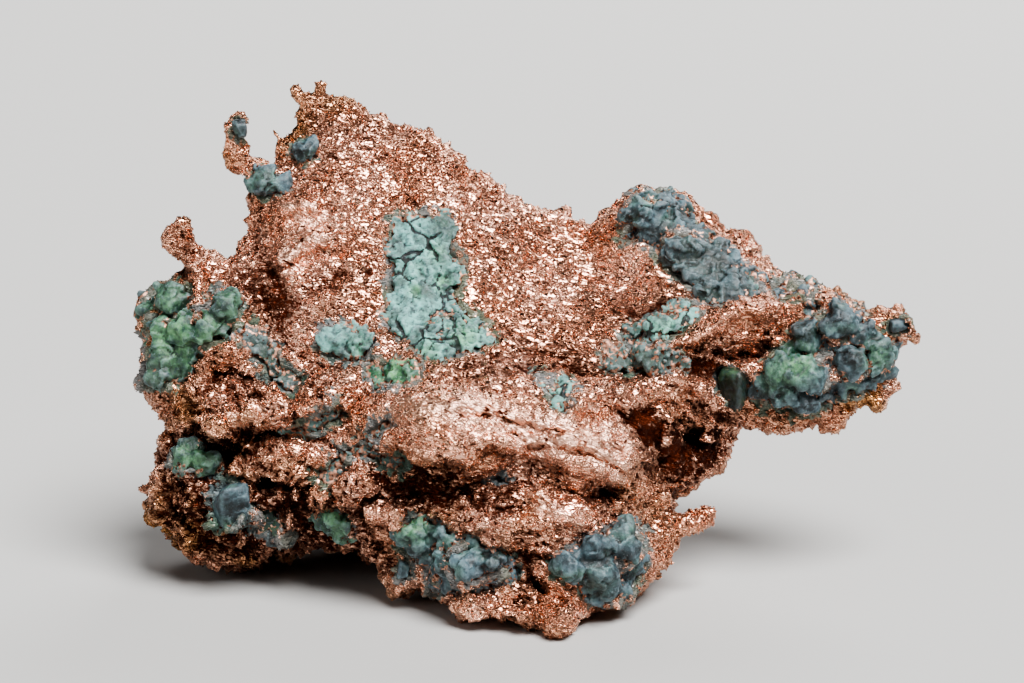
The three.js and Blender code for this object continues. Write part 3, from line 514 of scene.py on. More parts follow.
def remeshed(mesh, cell, name):
    """The same surface rebuilt from evenly spaced points; worked in mm, as a cell can be tiny."""
    mesh.transform(Matrix.Scale(1 / MM, 4))
    obj = new_object(name, mesh)
    rebuild = obj.modifiers.new("even_points", "REMESH")
    rebuild.mode = "VOXEL"
    rebuild.voxel_size = cell / MM
    graph = bpy.context.evaluated_depsgraph_get()
    result = bpy.data.meshes.new_from_object(obj.evaluated_get(graph))
    bpy.data.objects.remove(obj)
    result.transform(Matrix.Scale(MM, 4))
    result.name = name
    return result


def joined_mesh(name, parts):
    """One mesh from pairs of points in mm and triangles."""
    points, faces, start = [], [], 0
    for part_points, part_faces in parts:
        points.append(part_points)
        faces.append(part_faces + start)
        start += len(part_points)
    points = np.concatenate(points) * MM
    faces = np.concatenate(faces)
    mesh = bpy.data.meshes.new(name)
    mesh.vertices.add(len(points))
    mesh.vertices.foreach_set("co", points.ravel())
    mesh.loops.add(faces.size)
    mesh.loops.foreach_set("vertex_index", faces.ravel())
    mesh.polygons.add(len(faces))
    mesh.polygons.foreach_set("loop_start", np.arange(len(faces)) * faces.shape[1])
    mesh.update(calc_edges=True)
    return mesh


def triangulated(mesh):
    """Points in mm and triangles of a mesh."""
    points = np.empty(len(mesh.vertices) * 3)
    mesh.vertices.foreach_get("co", points)
    mesh.calc_loop_triangles()
    faces = np.empty(len(mesh.loop_triangles) * 3, dtype=np.int64)
    mesh.loop_triangles.foreach_get("vertices", faces)
    return points.reshape(-1, 3) / MM, faces.reshape(-1, 3)


def surface_samples(mesh, count, rng, favour=None):
    """Random points on a mesh in mm, their normals, and one corner each to read values from."""
    points, faces = triangulated(mesh)
    a, b, c = (points[faces[:, i]] for i in range(3))
    cross = np.cross(b - a, c - a)
    area = np.linalg.norm(cross, axis=1)
    chance = area if favour is None else area * favour[faces[:, 0]]
    pick = rng.choice(len(faces), size=count, p=chance / chance.sum())
    r1, r2 = np.sqrt(rng.random(count))[:, None], rng.random(count)[:, None]
    spots = (1 - r1) * a[pick] + (r1 * (1 - r2)) * b[pick] + (r1 * r2) * c[pick]
    return spots, cross[pick] / area[pick][:, None], faces[pick, 0]


def unit_ball(subdivisions):
    """Points and triangles of an even ball of radius 1."""
    bm = bmesh.new()
    bmesh.ops.create_icosphere(bm, subdivisions=subdivisions, radius=1.0)
    points = np.array([v.co[:] for v in bm.verts])
    faces = np.array([[v.index for v in f.verts] for f in bm.faces])
    bm.free()
    return points, faces


def random_turns(rng, count):
    """Random rotation matrices."""
    w, x, y, z = rng.normal(size=(count, 4)).T
    n = np.sqrt(w * w + x * x + y * y + z * z)
    w, x, y, z = w / n, x / n, y / n, z / n
    rows = [
        [1 - 2 * (y * y + z * z), 2 * (x * y - z * w), 2 * (x * z + y * w)],
        [2 * (x * y + z * w), 1 - 2 * (x * x + z * z), 2 * (y * z - x * w)],
        [2 * (x * z - y * w), 2 * (y * z + x * w), 1 - 2 * (x * x + y * y)],
    ]
    return np.array(rows).transpose(2, 0, 1)


def side_of(name):
    """One for a piece on the front, and minus one for a piece on the back."""
    return -1.0 if "back" in name else 1.0


def new_object(name, data):
    """An object in the scene."""
    obj = bpy.data.objects.new(name, data)
    bpy.context.scene.collection.objects.link(obj)
    return obj


def finish_piece(obj, material, nodes=()):
    """Gives a piece its material, its body and the nodes it stands for."""
    obj.data.materials.clear()
    obj.data.materials.append(material)
    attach(obj, BODY)
    if nodes:
        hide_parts(*nodes)


# ------------------------------------------------------------------ materials


def new_material(name):
    """An empty material and its node tree."""
    material = bpy.data.materials.new(name)
    material.use_nodes = True
    material.node_tree.nodes.clear()
    return material, material.node_tree


def add_node(tree, kind, inputs=None, take=0, **settings):
    """Adds a node with its settings, fills its inputs with values or links, and gives one output."""
    node = tree.nodes.new(kind)
    for key, value in settings.items():
        setattr(node, key, value)
    for key, value in (inputs or {}).items():
        if isinstance(value, bpy.types.NodeSocket):
            tree.links.new(value, node.inputs[key])
        else:
            node.inputs[key].default_value = value
    return node.outputs[take] if node.outputs else None


def random_lean(tree, places, width, tilt):
    """A random colour and sideways lean for each facet of the given width in metres."""
    facets = add_node(tree, "ShaderNodeTexVoronoi", {"Vector": places, "Scale": 1 / width}, take="Color")
    centred = add_node(tree, "ShaderNodeVectorMath", {0: facets, 1: (0.5, 0.5, 0.5)}, operation="SUBTRACT")
    lean = add_node(tree, "ShaderNodeVectorMath", {0: centred, "Scale": tilt}, operation="SCALE")
    return facets, lean


def copper_material(settings):
    # Native copper, hackly from growing in open rock: the eye gets pink glints on wormy crests with
    # brown crevices between, and a satin sheen with long cracks where the metal is folded smooth.
    # The brown of crevices, pits and hollows is tarnish with painted shade, and the satin folds are
    # painted a lighter copper, a painted sheen.
    # Real grains go down to a few hundredths of a millimetre; they are drawn coarser, so that they show.
    material, tree = new_material("native_copper_hackly")
    grain = settings.copper_grain
    places = add_node(tree, "ShaderNodeTexCoord", take="Object")
    satin, hollow, gilt, haze = (
        add_node(tree, "ShaderNodeAttribute", take="Fac", attribute_name=name)
        for name in ("satin", "hollow", "gilt", "haze")
    )
    # each flow runs down to the right at its own angle, in degrees, and is drawn out so many times
    flow = {}
    for name, angle, stretch in (("worms", 14, 3.2), ("streaks", 25, 5.0), ("cracks", 28, 6.0)):
        turn = (0.0, math.radians(angle), 0.0)
        flow[name] = add_node(
            tree,
            "ShaderNodeMapping",
            {"Vector": places, "Rotation": turn, "Scale": (stretch, 1.0, 1.0)},
            vector_type="TEXTURE",
        )
    # name, where it is drawn, width of one feature, fineness of detail, swirl
    noise = {}
    for name, where, width, detail, swirl in (
        ("worms", flow["worms"], 1.2 * grain, 2.5, 0.5),
        ("streaks", flow["streaks"], 0.16 * MM, 3.0, 0.0),
        ("cracks", flow["cracks"], 0.3 * MM, 2.0, 0.0),
        ("mottle", places, 2.4 * MM, 4.0, 0.0),
        ("fine", places, 0.4 * MM, 3.0, 0.0),
        ("pits", places, grain, 3.0, 0.0),
    ):
        noise[name] = add_node(
            tree,
            "ShaderNodeTexNoise",
            {"Vector": where, "Scale": 1 / width, "Detail": detail, "Distortion": swirl},
        )
    off_middle = add_node(tree, "ShaderNodeMath", {0: noise["worms"], 1: 0.5}, operation="SUBTRACT")
    either_side = add_node(tree, "ShaderNodeMath", {0: off_middle}, operation="ABSOLUTE")
    crevice = add_node(tree, "ShaderNodeMapRange", {0: either_side, 1: 0.0, 2: 0.075})

    # the share each pattern takes: name, pattern, its low and high, the share there
    share = {}
    for name, value, low, high, at_low, at_high in (
        ("small_tilt", satin, 0.0, 1.0, 0.32, 0.1),
        ("large_tilt", satin, 0.0, 1.0, 0.48, 0.12),
        ("fine_dirt", noise["fine"], 0.3, 0.7, -0.25, 0.3),
        # painted shade: the worm crevices and the pits are painted darker, the worm crests a little
        # lighter
        ("crevice_shade", crevice, 0.0, 1.0, 0.56, -0.14),
        ("pit_shade", noise["pits"], 0.52, 0.68, 0.0, 0.38),
        ("streak_dirt", noise["streaks"], 0.32, 0.5, 0.9, -0.05),
        ("crack_dirt", noise["cracks"], 0.33, 0.4, 1.1, 0.0),
        ("ragged_film", noise["fine"], 0.3, 0.7, -0.55, 0.45),
        ("rosy", noise["mottle"], 0.35, 0.65, 0.0, 1.0),
        ("dark_brown", noise["mottle"], 0.3, 0.7, 0.0, 1.0),
        ("mossy", noise["mottle"], 0.4, 0.6, 0.0, 1.0),
    ):
        share[name] = add_node(
            tree, "ShaderNodeMapRange", {0: value, 1: low, 2: high, 3: at_low, 4: at_high}
        )

    facets, small_lean = random_lean(tree, places, 0.5 * grain, share["small_tilt"])
    _, large_lean = random_lean(tree, flow["worms"], 1.5 * grain, share["large_tilt"])
    normal = add_node(tree, "ShaderNodeNewGeometry", take="Normal")
    for lean in (small_lean, large_lean):
        normal = add_node(tree, "ShaderNodeVectorMath", {0: normal, 1: lean}, operation="ADD")
    normal = add_node(tree, "ShaderNodeVectorMath", {0: normal}, operation="NORMALIZE")

    hackly = add_node(
        tree, "ShaderNodeMath", {0: share["fine_dirt"], 1: share["crevice_shade"]}, operation="ADD"
    )
    hackly = add_node(tree, "ShaderNodeMath", {0: hackly, 1: share["pit_shade"]}, operation="ADD")
    folded = add_node(
        tree, "ShaderNodeMath", {0: share["streak_dirt"], 1: share["crack_dirt"]}, operation="MAXIMUM"
    )
    # tarnish together with painted shade: hollows, crevices and pits are painted darker, and the places
    # marked fresher are painted lighter, a painted highlight
    local_shade_and_marks = add_node(tree, "ShaderNodeMix", {0: satin, 2: hackly, 3: folded})
    shade_and_tarnish = add_node(tree, "ShaderNodeMath", {0: hollow, 1: local_shade_and_marks}, operation="ADD")
    shaded_and_tarnished = add_node(tree, "ShaderNodeMapRange", {0: shade_and_tarnish, 1: 0.05, 2: 0.9})
    one_facet = add_node(tree, "ShaderNodeSeparateColor", {0: facets})
    tanned = add_node(tree, "ShaderNodeMapRange", {0: one_facet, 1: 0.5, 2: 1.0, 3: 0.0, 4: 0.4})
    # painted sheen: the satin folds are painted a lighter copper
    painted_sheen = add_node(tree, "ShaderNodeMath", {0: satin, 1: 0.75}, operation="MULTIPLY")
    filmed = add_node(tree, "ShaderNodeMath", {0: haze, 1: share["ragged_film"]}, operation="ADD")
    filmed = add_node(tree, "ShaderNodeMapRange", {0: filmed, 1: 0.5, 2: 0.65})
    film_cover = add_node(tree, "ShaderNodeMath", {0: filmed, 1: 0.85}, operation="MULTIPLY")
    brown = add_node(
        tree,
        "ShaderNodeMix",
        {0: share["dark_brown"], 6: settings.tarnish, 7: hex_colour("#22100A")},
        take=2,
        data_type="RGBA",
    )
    film = add_node(
        tree,
        "ShaderNodeMix",
        {0: share["mossy"], 6: hex_colour("#66777A"), 7: hex_colour("#4F6B5C")},
        take=2,
        data_type="RGBA",
    )
    colour = settings.copper
    for cover, tone in (
        (share["rosy"], hex_colour("#E3A486")),
        (tanned, hex_colour("#BC8466")),
        (painted_sheen, hex_colour("#F6C7AF")),
        (gilt, settings.gilt),
        # brown tarnish and painted shade
        (shaded_and_tarnished, brown),
        (film_cover, film),
    ):
        colour = add_node(
            tree, "ShaderNodeMix", {0: cover, 6: colour, 7: tone}, take=2, data_type="RGBA"
        )

    polish = add_node(tree, "ShaderNodeMapRange", {0: shade_and_tarnish, 1: 0.0, 2: 1.0, 3: 0.22, 4: 0.48})
    softer = add_node(tree, "ShaderNodeMath", {0: satin, 1: 0.06}, operation="MULTIPLY")
    roughness = add_node(tree, "ShaderNodeMath", {0: polish, 1: softer}, operation="ADD")
    deep_streaks = add_node(tree, "ShaderNodeMath", {0: noise["streaks"], 1: 3.0}, operation="MULTIPLY")
    relief = add_node(tree, "ShaderNodeMix", {0: satin, 2: crevice, 3: deep_streaks})
    for strength, depth, height in ((1.0, 0.5 * grain, relief), (0.5, 0.05 * MM, noise["fine"])):
        normal = add_node(
            tree,
            "ShaderNodeBump",
            {"Strength": strength, "Distance": depth, "Height": height, "Normal": normal},
        )
    metallic = add_node(tree, "ShaderNodeMapRange", {0: filmed, 1: 0.0, 2: 1.0, 3: 1.0, 4: 0.1})
    shader = add_node(
        tree,
        "ShaderNodeBsdfPrincipled",
        {"Base Color": colour, "Metallic": metallic, "Roughness": roughness, "Normal": normal},
    )
    add_node(tree, "ShaderNodeOutputMaterial", {"Surface": shader})
    return material


def mineral_material(name, base, pale, gloss, crest_light_and_flecks, settings):
    # Mineral grown as soft, translucent crystal or crust: the eye gets soft edges, cloudy colour,
    # green crevices and specks of copper along the rim. Crevices and cracks are painted dark, a
    # painted shade, and crests pale, a painted highlight; the last setting gives how pale the crests
    # are painted and how strong the pale flecks are.
    material, tree = new_material(name)
    places = add_node(tree, "ShaderNodeTexCoord", take="Object")
    tone, hollow, green, dull, edge = (
        add_node(tree, "ShaderNodeAttribute", take="Fac", attribute_name=label)
        for label in ("tone", "hollow", "green", "dull", "edge")
    )
    # name, width of one feature in mm, fineness of detail
    noise = {}
    for label, width, detail in (
        ("cloud", 0.8, 5.0),
        ("veil", 0.3, 4.0),
        ("fine", 0.12, 3.0),
        ("grime", 0.22, 4.0),
        ("dust", 0.2, 5.0),
    ):
        noise[label] = add_node(
            tree, "ShaderNodeTexNoise", {"Vector": places, "Scale": 1 / (width * MM), "Detail": detail}
        )
    # the share each pattern takes: name, pattern, its low and high, the share there
    share = {}
    for label, value, low, high, at_low, at_high in (
        ("tone", tone, 0.0, 1.0, -0.15, 0.6),
        ("cloud", noise["cloud"], 0.35, 0.65, -0.25, 0.5),
        ("veil", noise["veil"], 0.35, 0.65, -0.2, 0.25),
        # deep is painted shade in crevices and cracks; crest is a painted highlight on crests
        ("deep", hollow, 0.0, 0.65, 0.0, 1.0),
        ("crest", hollow, -0.1, -0.5, 0.0, 0.18 * crest_light_and_flecks),
        ("fleck", noise["fine"], 0.58, 0.75, 0.0, 0.2 * crest_light_and_flecks),
        ("grime", noise["grime"], 0.52, 0.66, 0.0, 0.65),
        ("dust", noise["dust"], 0.3, 0.7, -0.6, 0.6),
        ("bright_metal", noise["veil"], 0.4, 0.7, 0.0, 1.0),
        ("roughness", noise["fine"], 0.3, 0.7, gloss, gloss + 0.2),
    ):
        share[label] = add_node(
            tree, "ShaderNodeMapRange", {0: value, 1: low, 2: high, 3: at_low, 4: at_high}
        )
    mixed = add_node(tree, "ShaderNodeMath", {0: share["tone"], 1: share["cloud"]}, operation="ADD")
    mixed = add_node(tree, "ShaderNodeMath", {0: mixed, 1: share["veil"]}, operation="ADD")
    mixed = add_node(tree, "ShaderNodeMapRange", {0: mixed, 1: 0.0, 2: 0.9})
    grassy = add_node(tree, "ShaderNodeMath", {0: green, 1: 0.9}, operation="MULTIPLY")
    dulled = add_node(tree, "ShaderNodeMath", {0: dull, 1: 0.85}, operation="MULTIPLY")
    metal = add_node(tree, "ShaderNodeMath", {0: edge, 1: share["dust"]}, operation="ADD")
    metal = add_node(tree, "ShaderNodeMapRange", {0: metal, 1: 0.62, 2: 0.72})
    # two-tone colours: name, share of the second, the first and the second
    tones = {}
    for label, cover, first, second in (
        ("body", mixed, base, pale),
        ("grass", mixed, settings.green, hex_colour("#79AE78")),
        # painted shade: near-black crevices, dark green where the mineral is green
        ("crevice", green, hex_colour("#0C1110"), hex_colour("#082816")),
        ("metal", share["bright_metal"], hex_colour("#4A2A1D"), settings.copper),
    ):
        tones[label] = add_node(
            tree, "ShaderNodeMix", {0: cover, 6: first, 7: second}, take=2, data_type="RGBA"
        )
    colour = tones["body"]
    for cover, top in (
        (grassy, tones["grass"]),
        # painted shade in crevices and cracks
        (share["deep"], tones["crevice"]),
        (dulled, hex_colour("#434D47")),
        # painted highlight on crests
        (share["crest"], hex_colour("#AEC3CC")),
        (share["fleck"], hex_colour("#BFD0D8")),
        (share["grime"], hex_colour("#2A393F")),
        (metal, tones["metal"]),
    ):
        colour = add_node(
            tree, "ShaderNodeMix", {0: cover, 6: colour, 7: top}, take=2, data_type="RGBA"
        )
    height = add_node(tree, "ShaderNodeMath", {0: noise["veil"], 1: 1.5}, operation="MULTIPLY")
    height = add_node(tree, "ShaderNodeMath", {0: noise["fine"], 1: height}, operation="ADD")
    bump = add_node(
        tree, "ShaderNodeBump", {"Strength": 0.5, "Distance": 0.06 * MM, "Height": height}
    )
    shader = add_node(
        tree,
        "ShaderNodeBsdfPrincipled",
        {
            "Base Color": colour,
            "Metallic": metal,
            "Roughness": share["roughness"],
            "Subsurface Weight": 0.4,
            "Subsurface Radius": (0.4, 0.9, 0.8),
            "Subsurface Scale": 0.4 * MM,
            "Normal": bump,
        },
    )
    add_node(tree, "ShaderNodeOutputMaterial", {"Surface": shader})
    return material


def mineral_look(slot, settings):
    """The material of a mineral's slot, made when it is first asked for."""
    looks = {
        # powdery chrysocolla: matt, pale blue-green, cracked like dry paint
        "pale_crust": ("chrysocolla_crust_matt", settings.pale, "#80BCB5", 0.6, 1.0),
        # thin green copper salt: a bright stain in the seams
        "green_crust": ("green_copper_crust_matt", settings.green, "#4F8468", 0.55, 1.0),
        # grey-blue crystals as they grew: waxy and cloudy
        "blue_crystal": ("grey_blue_crystal_waxy", settings.blue, "#4E646C", 0.45, 1.0),
        # sea-green crystals as they grew: waxy, greener in the gaps
        "green_crystal": ("sea_green_crystal_waxy", hex_colour("#14241B"), "#4B6C57", 0.45, 1.0),
        # dark smoky crystal: almost black, with a soft shine
        "smoky_crystal": ("smoky_crystal_waxy", hex_colour("#0A100C"), "#26322A", 0.3, 0.1),
    }
    name, base, pale, gloss, crest_light_and_flecks = looks[slot]
    made = bpy.data.materials.get(name)
    return made or mineral_material(name, base, hex_colour(pale), gloss, crest_light_and_flecks, settings)


# ------------------------------------------------------------------ copper


BLANK_CELL = 0.2 * MM  # spacing of the points that stand for a mineral's own surface
FILLER_SPREAD = 0.45  # mm; how much wider than its mineral a filler is
FILLER_SINK = 0.7  # mm; how far a filler stays below its mineral's face
COPPER_CRUMB = 0.5  # a loose bit with a smaller share of the points than this is dropped
TIP_LOSS = 0.07  # mm; softening may take this much from a tip
TIP_GIVEN_BACK = 0.5  # mm; the most that a tip gets back
FLOOR_HEIGHT = 0.0  # mm; nothing goes below the floor


def mineral_blanks():
    """Each mineral's surface as evenly spaced points, keyed by node."""
    blanks = {}
    for name, node in frame["nodes"].items():
        if name != COPPER_NODE:
            blanks[name] = Skin(remeshed(node.data.copy(), BLANK_CELL, "blank"))
    return blanks


def filler_parts(blanks):
    """Minerals drawn in from their faces and widened, to close their pockets in the copper."""
    parts = []
    for name, blank in blanks.items():
        normals = blank.normals()
        outward = normals @ OUT_OF_FACE
        sideways = normals - outward[:, None] * OUT_OF_FACE
        side = side_of(name)
        moved = blank.points + FILLER_SPREAD * sideways
        moved -= (side * FILLER_SINK * np.clip(side * outward, 0, 1))[:, None] * OUT_OF_FACE
        parts.append((moved, triangulated(blank.mesh)[1]))
    return parts


def plug_parts():
    """Lumps of copper that make deep hollows of the front shallower."""
    points, _ = triangulated(frame["nodes"][COPPER_NODE].data)
    across, up, out = face_places(points)
    low, high = (np.array(corner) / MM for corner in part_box(COPPER_NODE))
    middle = (low[0] + high[0]) / 2
    bottom = np.min(points @ UP_FACE)
    ball, faces = unit_ball(3)
    parts = []
    for u, v, wide, tall in PLUGGED_HOLLOWS:
        lip = (np.abs(across - u) < wide) & (np.abs(up - (v - tall)) < 0.5 * tall)
        front = np.percentile(out[lip], 80) - PLUG_DEPTH
        centre = (u + middle) * ACROSS + (v + bottom) * UP_FACE + (front - tall) * OUT_OF_FACE
        shape = ball[:, :1] * wide * ACROSS + ball[:, 1:2] * tall * UP_FACE
        shape = shape + ball[:, 2:] * tall * OUT_OF_FACE
        parts.append((centre + shape, faces))
    return parts


def mineral_gaps(points, blanks):
    """Distance of each point from the nearest mineral, and its height over that mineral's surface."""
    places = np.concatenate([blank.points for blank in blanks.values()])
    normals = np.concatenate([blank.normals() for blank in blanks.values()])
    nearest, gaps = nearest_of(points, places)
    return gaps, np.sum((points - places[nearest]) * normals[nearest], axis=1)


def refine_front(mesh):
    """Splits every face that looks out of the leaning face into smaller ones."""
    bm = bmesh.new()
    bm.from_mesh(mesh)
    bmesh.ops.triangulate(bm, faces=bm.faces)
    out = Vector(OUT_OF_FACE)
    edges = {e for f in bm.faces if f.normal.dot(out) > FINE_FACING for e in f.edges}
    bmesh.ops.subdivide_edges(bm, edges=list(edges), cuts=1, use_grid_fill=True)
    bmesh.ops.triangulate(bm, faces=bm.faces)
    bm.to_mesh(mesh)
    bm.free()


def carve_strokes(skin):
    """Raises ridges and sinks furrows on the front face."""
    ragged = wandering(wandering(skin.points, 1.7, 0.45, 50), 0.55, 0.16, 60)
    across, up, _ = face_places(ragged)
    facing = np.clip(skin.normals() @ OUT_OF_FACE * 1.6, 0, 1)
    uneven = np.clip(0.85 + 0.9 * layered_noise(skin.points, 2.2, 2, 70), 0.1, 1.5)
    for path, rise, reach in FRONT_STROKES:
        near = closeness_to_path(across, up, path, reach)
        skin.points += (rise * near * facing * uneven)[:, None] * OUT_OF_FACE


def grain_places(across, up, out):
    """Coordinates in which the copper's folds, which bend down to the right, run level and long."""
    level = up + 0.3 * np.logaddexp(0, (across + 2) * 0.8) / 0.8
    return np.stack([across * 0.25, level * 1.5, out * 0.6], axis=1)


def crumple(skin, relief, sunk):
    """Gives the whole surface its hackly relief, calmer on the top plate and low beside crystals."""
    p = skin.points.copy()
    normals = skin.normals()
    across, up, _ = face_places(p)
    outward = normals @ OUT_OF_FACE
    facing = np.clip(outward * 1.6, 0, 1)
    # wild is how rough each place is: calm on the top plate and the bow, rough at the back and lower left
    wild = 0.3 + 0.7 * np.clip((15.5 - up) / 4, 0, 1) * np.clip((3 - across) / 8, 0.3, 1)
    bow = closeness_to_path(across, up, BOW, 1.9)
    wild = np.maximum(wild * (1 - 0.75 * bow), 0.8 * (1 - facing))
    wild = wild * (1 + 0.7 * np.exp(-(((across + 15) / 4) ** 2 + ((up - 5) / 4) ** 2)))
    rim = np.exp(-((outward / 0.45) ** 2))
    folded = 0.25 + 0.75 * np.clip((14 - up) / 3, 0, 1)
    folds = grain_places(*face_places(wandering(p, 1.6, 0.35, 80)))
    # crags, then folds, then a ragged rim and fine wrinkles on the bow
    push = relief * wild * ridged_noise(p, 2.6, 4, 3)
    push += 0.6 * relief * folded * ridged_noise(folds, 1.1, 3, 21)
    push += 0.7 * relief * rim * ridged_noise(p, 1.0, 2, 41)
    push += 0.35 * relief * bow * ridged_noise(folds, 0.4, 3, 61)
    # flat facets, large and small
    push += relief * (0.08 + 0.85 * wild) * cells(p, 0.9, 5)[2]
    push += relief * (0.1 + 0.4 * wild) * cells(p, 0.42, 9)[2]
    push *= 1 - 0.7 * sunk
    push -= 0.15 * sunk + 0.12 * rim
    skin.points += push[:, None] * normals
    skin.points += np.random.default_rng(7).normal(0, 0.014, p.shape)


def tarnish_and_shade_at(across, up):
    """Strength of the tarnish and painted shade at each place of the front face; negative where a
    highlight is painted.
    """
    total = np.zeros(len(across))
    for path, reach, strength in TARNISH_AND_SHADE_PLACES:
        total += strength * closeness_to_path(across, up, path, reach)
    return total


def satin_share(across, up):
    """One along the smoothly folded places, fading away from them."""
    shares = [closeness_to_path(across, up, path, reach) for path, reach in SATIN_PLACES]
    return np.max(shares, axis=0)


def copper_values(skin, gaps):
    """How hollow (darkened with tarnish and painted shade), gilt, hazy and satin the copper is at each
    point.
    """
    # how far the point lies below its wide, near and closest surroundings, each against its usual depth;
    # the deeper it lies, the darker it is painted, as painted shade with tarnish
    broad = skin.hollowness(120) / 0.8
    coarse = skin.hollowness(16) / 0.25
    fine = skin.hollowness(2) / 0.05
    across, up, _ = face_places(skin.points)
    ragged = wandering(wandering(skin.points, 1.8, 0.5, 90), 0.6, 0.25, 95)
    ragged_across, ragged_up, _ = face_places(ragged)
    rim = np.clip((np.hypot((across + 1) / 17.5, (up - 13.5) / 14.5) - 0.72) / 0.3, 0, 1)
    patch = 0.5 + 0.5 * layered_noise(skin.points, 2.4, 3, 31)
    roughly = np.clip((14.5 - up) / 3, 0, 1)
    # painted shade, darker towards the bottom
    shade = roughly * (0.15 + 0.55 * layered_noise(skin.points, 2.0, 3, 37))
    hollow = 0.5 * broad + 0.45 * coarse + 0.2 * fine + tarnish_and_shade_at(ragged_across, ragged_up) + shade
    gilt = np.clip(rim * patch * 2.4 - 1.0, 0, 0.6)
    gilt += 0.5 * roughly * np.clip(1.6 * patch - 0.7, 0, 0.8)
    return {
        "hollow": np.clip(hollow, -0.15, 1.6),
        "gilt": gilt,
        "haze": np.clip((0.85 - gaps) / 0.7, 0, 1),
        "satin": satin_share(ragged_across, ragged_up),
    }


def restore_tips(skin, sharp):
    """Gives back what softening took from thin tips, beyond the loss that may stay."""
    normals = skin.normals()
    lost = skin.averaged(np.sum((sharp - skin.points) * normals, axis=1), 2)
    given_back = 1.2 * np.clip(lost - TIP_LOSS, 0, TIP_GIVEN_BACK)
    skin.points += given_back[:, None] * normals


def build_copper(settings):
    """The copper mass, hackly all over, and the values that its material reads."""
    blanks = mineral_blanks()
    mass = triangulated(frame["nodes"][COPPER_NODE].data)
    blank = joined_mesh("copper_blank", [mass, *filler_parts(blanks), *plug_parts()])
    mesh = without_crumbs(remeshed(blank, settings.copper_cell, "copper"), COPPER_CRUMB)
    refine_front(mesh)
    obj = new_object("copper", mesh)
    skin = Skin(mesh)
    sharp = skin.points.copy()
    skin.soften(8)
    restore_tips(skin, sharp)
    carve_strokes(skin)
    gaps, heights = mineral_gaps(skin.points, blanks)
    sunk = np.clip(0.5 - heights / 0.3, 0, 1)
    crumple(skin, settings.copper_relief / MM, sunk)
    skin.points[:, 2] = np.maximum(skin.points[:, 2], FLOOR_HEIGHT)
    skin.store()
    values = copper_values(skin, gaps)
    for name, value in values.items():
        skin.set_value(name, value)
    mesh.shade_smooth()
    finish_piece(obj, copper_material(settings), [COPPER_NODE])
    return obj, values


# a grain is a double point with six corners and eight faces
GRAIN = np.array([[1, 0, 0], [-1, 0, 0], [0, 1, 0], [0, -1, 0], [0, 0, 1], [0, 0, -1]], dtype=float)
GRAIN_FACES = np.array(
    [[0, 2, 4], [2, 1, 4], [1, 3, 4], [3, 0, 4], [2, 0, 5], [1, 2, 5], [3, 1, 5], [0, 3, 5]]
)


def build_grains(settings, copper, values, name, favour, count, seed):
    """Small double-pointed copper crystals grown all over the mass, facets catching the light."""
    rng = np.random.default_rng(seed)
    spots, normals, corners = surface_samples(copper.data, count, rng, favour)
    size = settings.copper_grain / MM * rng.uniform(0.25, 0.7, count)
    shape = GRAIN[None] * rng.uniform(0.6, 1.25, (count, 6, 1))
    widths = [np.ones(count), rng.uniform(0.5, 0.9, count), rng.uniform(0.3, 0.7, count)]
    shape = shape * np.stack(widths, 1)[:, None]
    shape = np.einsum("nij,nkj->nki", random_turns(rng, count), shape * size[:, None, None])
    points = (shape + (spots + 0.03 * normals)[:, None]).reshape(-1, 3)
    points[:, 2] = np.maximum(points[:, 2], FLOOR_HEIGHT)
    faces = (GRAIN_FACES[None] + 6 * np.arange(count)[:, None, None]).reshape(-1, 3)
    mesh = joined_mesh(name, [(points, faces)])
    skin = Skin(mesh)
    for label, value in values.items():
        less_shade_and_tarnish = 0.25 if label == "hollow" else 0  # grains stand proud, so they get less tarnish and less painted shade
        skin.set_value(label, np.repeat(value[corners] - less_shade_and_tarnish, 6))
    finish_piece(new_object(name, mesh), copper.data.materials[0])


def grow_grains(settings, copper, values):
    """Grains all over the bare copper, few of them on the calm top plate and the satin folds."""
    skin = Skin(copper.data)
    facing = skin.normals() @ OUT_OF_FACE
    across, up, _ = face_places(skin.points)
    bare = np.clip((1 - values["haze"]) * 5, 0.05, 1)
    calm = np.exp(-((np.hypot((across - 0.5) / 9, (up - 16.5) / 6)) ** 4))
    front = np.clip(facing * 3, 0, 1) * bare * (1 - 0.85 * calm) * (1 - 0.8 * values["satin"])
    rest = np.clip(0.6 - facing, 0, 1) * bare
    build_grains(settings, copper, values, "copper_grains_front", front, settings.front_grains, 12)
    build_grains(settings, copper, values, "copper_grains_back", rest, settings.back_grains, 13)


# ------------------------------------------------------------------ minerals


def crystal_points(ball, rng, sharpness, skew=0.18):
    """Points of a crystal of radius about 1 with a dozen flat faces and softened edges."""
    cube = np.concatenate([np.eye(3), -np.eye(3)]) + rng.normal(0, skew, (6, 3))
    facing = np.concatenate([cube, rng.normal(0, 1, (5, 3))])
    facing /= np.linalg.norm(facing, axis=1)[:, None]
    towards = np.clip(ball @ facing.T, 0, None) / rng.uniform(0.7, 1.0, len(facing))
    reach = np.sum(towards**sharpness, axis=1) ** (-1 / sharpness)
    return ball * np.minimum(reach, 1.35)[:, None]


def spaced_spots(spots, radii, closeness):
    """Greedy choice of spots, big ones first, that keep a share of their radii apart."""
    kept = []
    for i in np.argsort(-radii):
        if kept:
            gaps = np.linalg.norm(spots[kept] - spots[i], axis=1)
            if np.any(gaps < closeness * (radii[kept] + radii[i])):
                continue
        kept.append(i)
    return kept


BED_SPREAD = 0.45  # mm; how far a mineral spreads over the copper beside it
CRYSTALS_AT_LEAST = 60  # crystals tried on every group
CRYSTALS_PER_AREA = 22  # more of them for each square mm of its outer face
MINERAL_CRUMB = 0.02  # a loose bit with a smaller share of the points than this is dropped


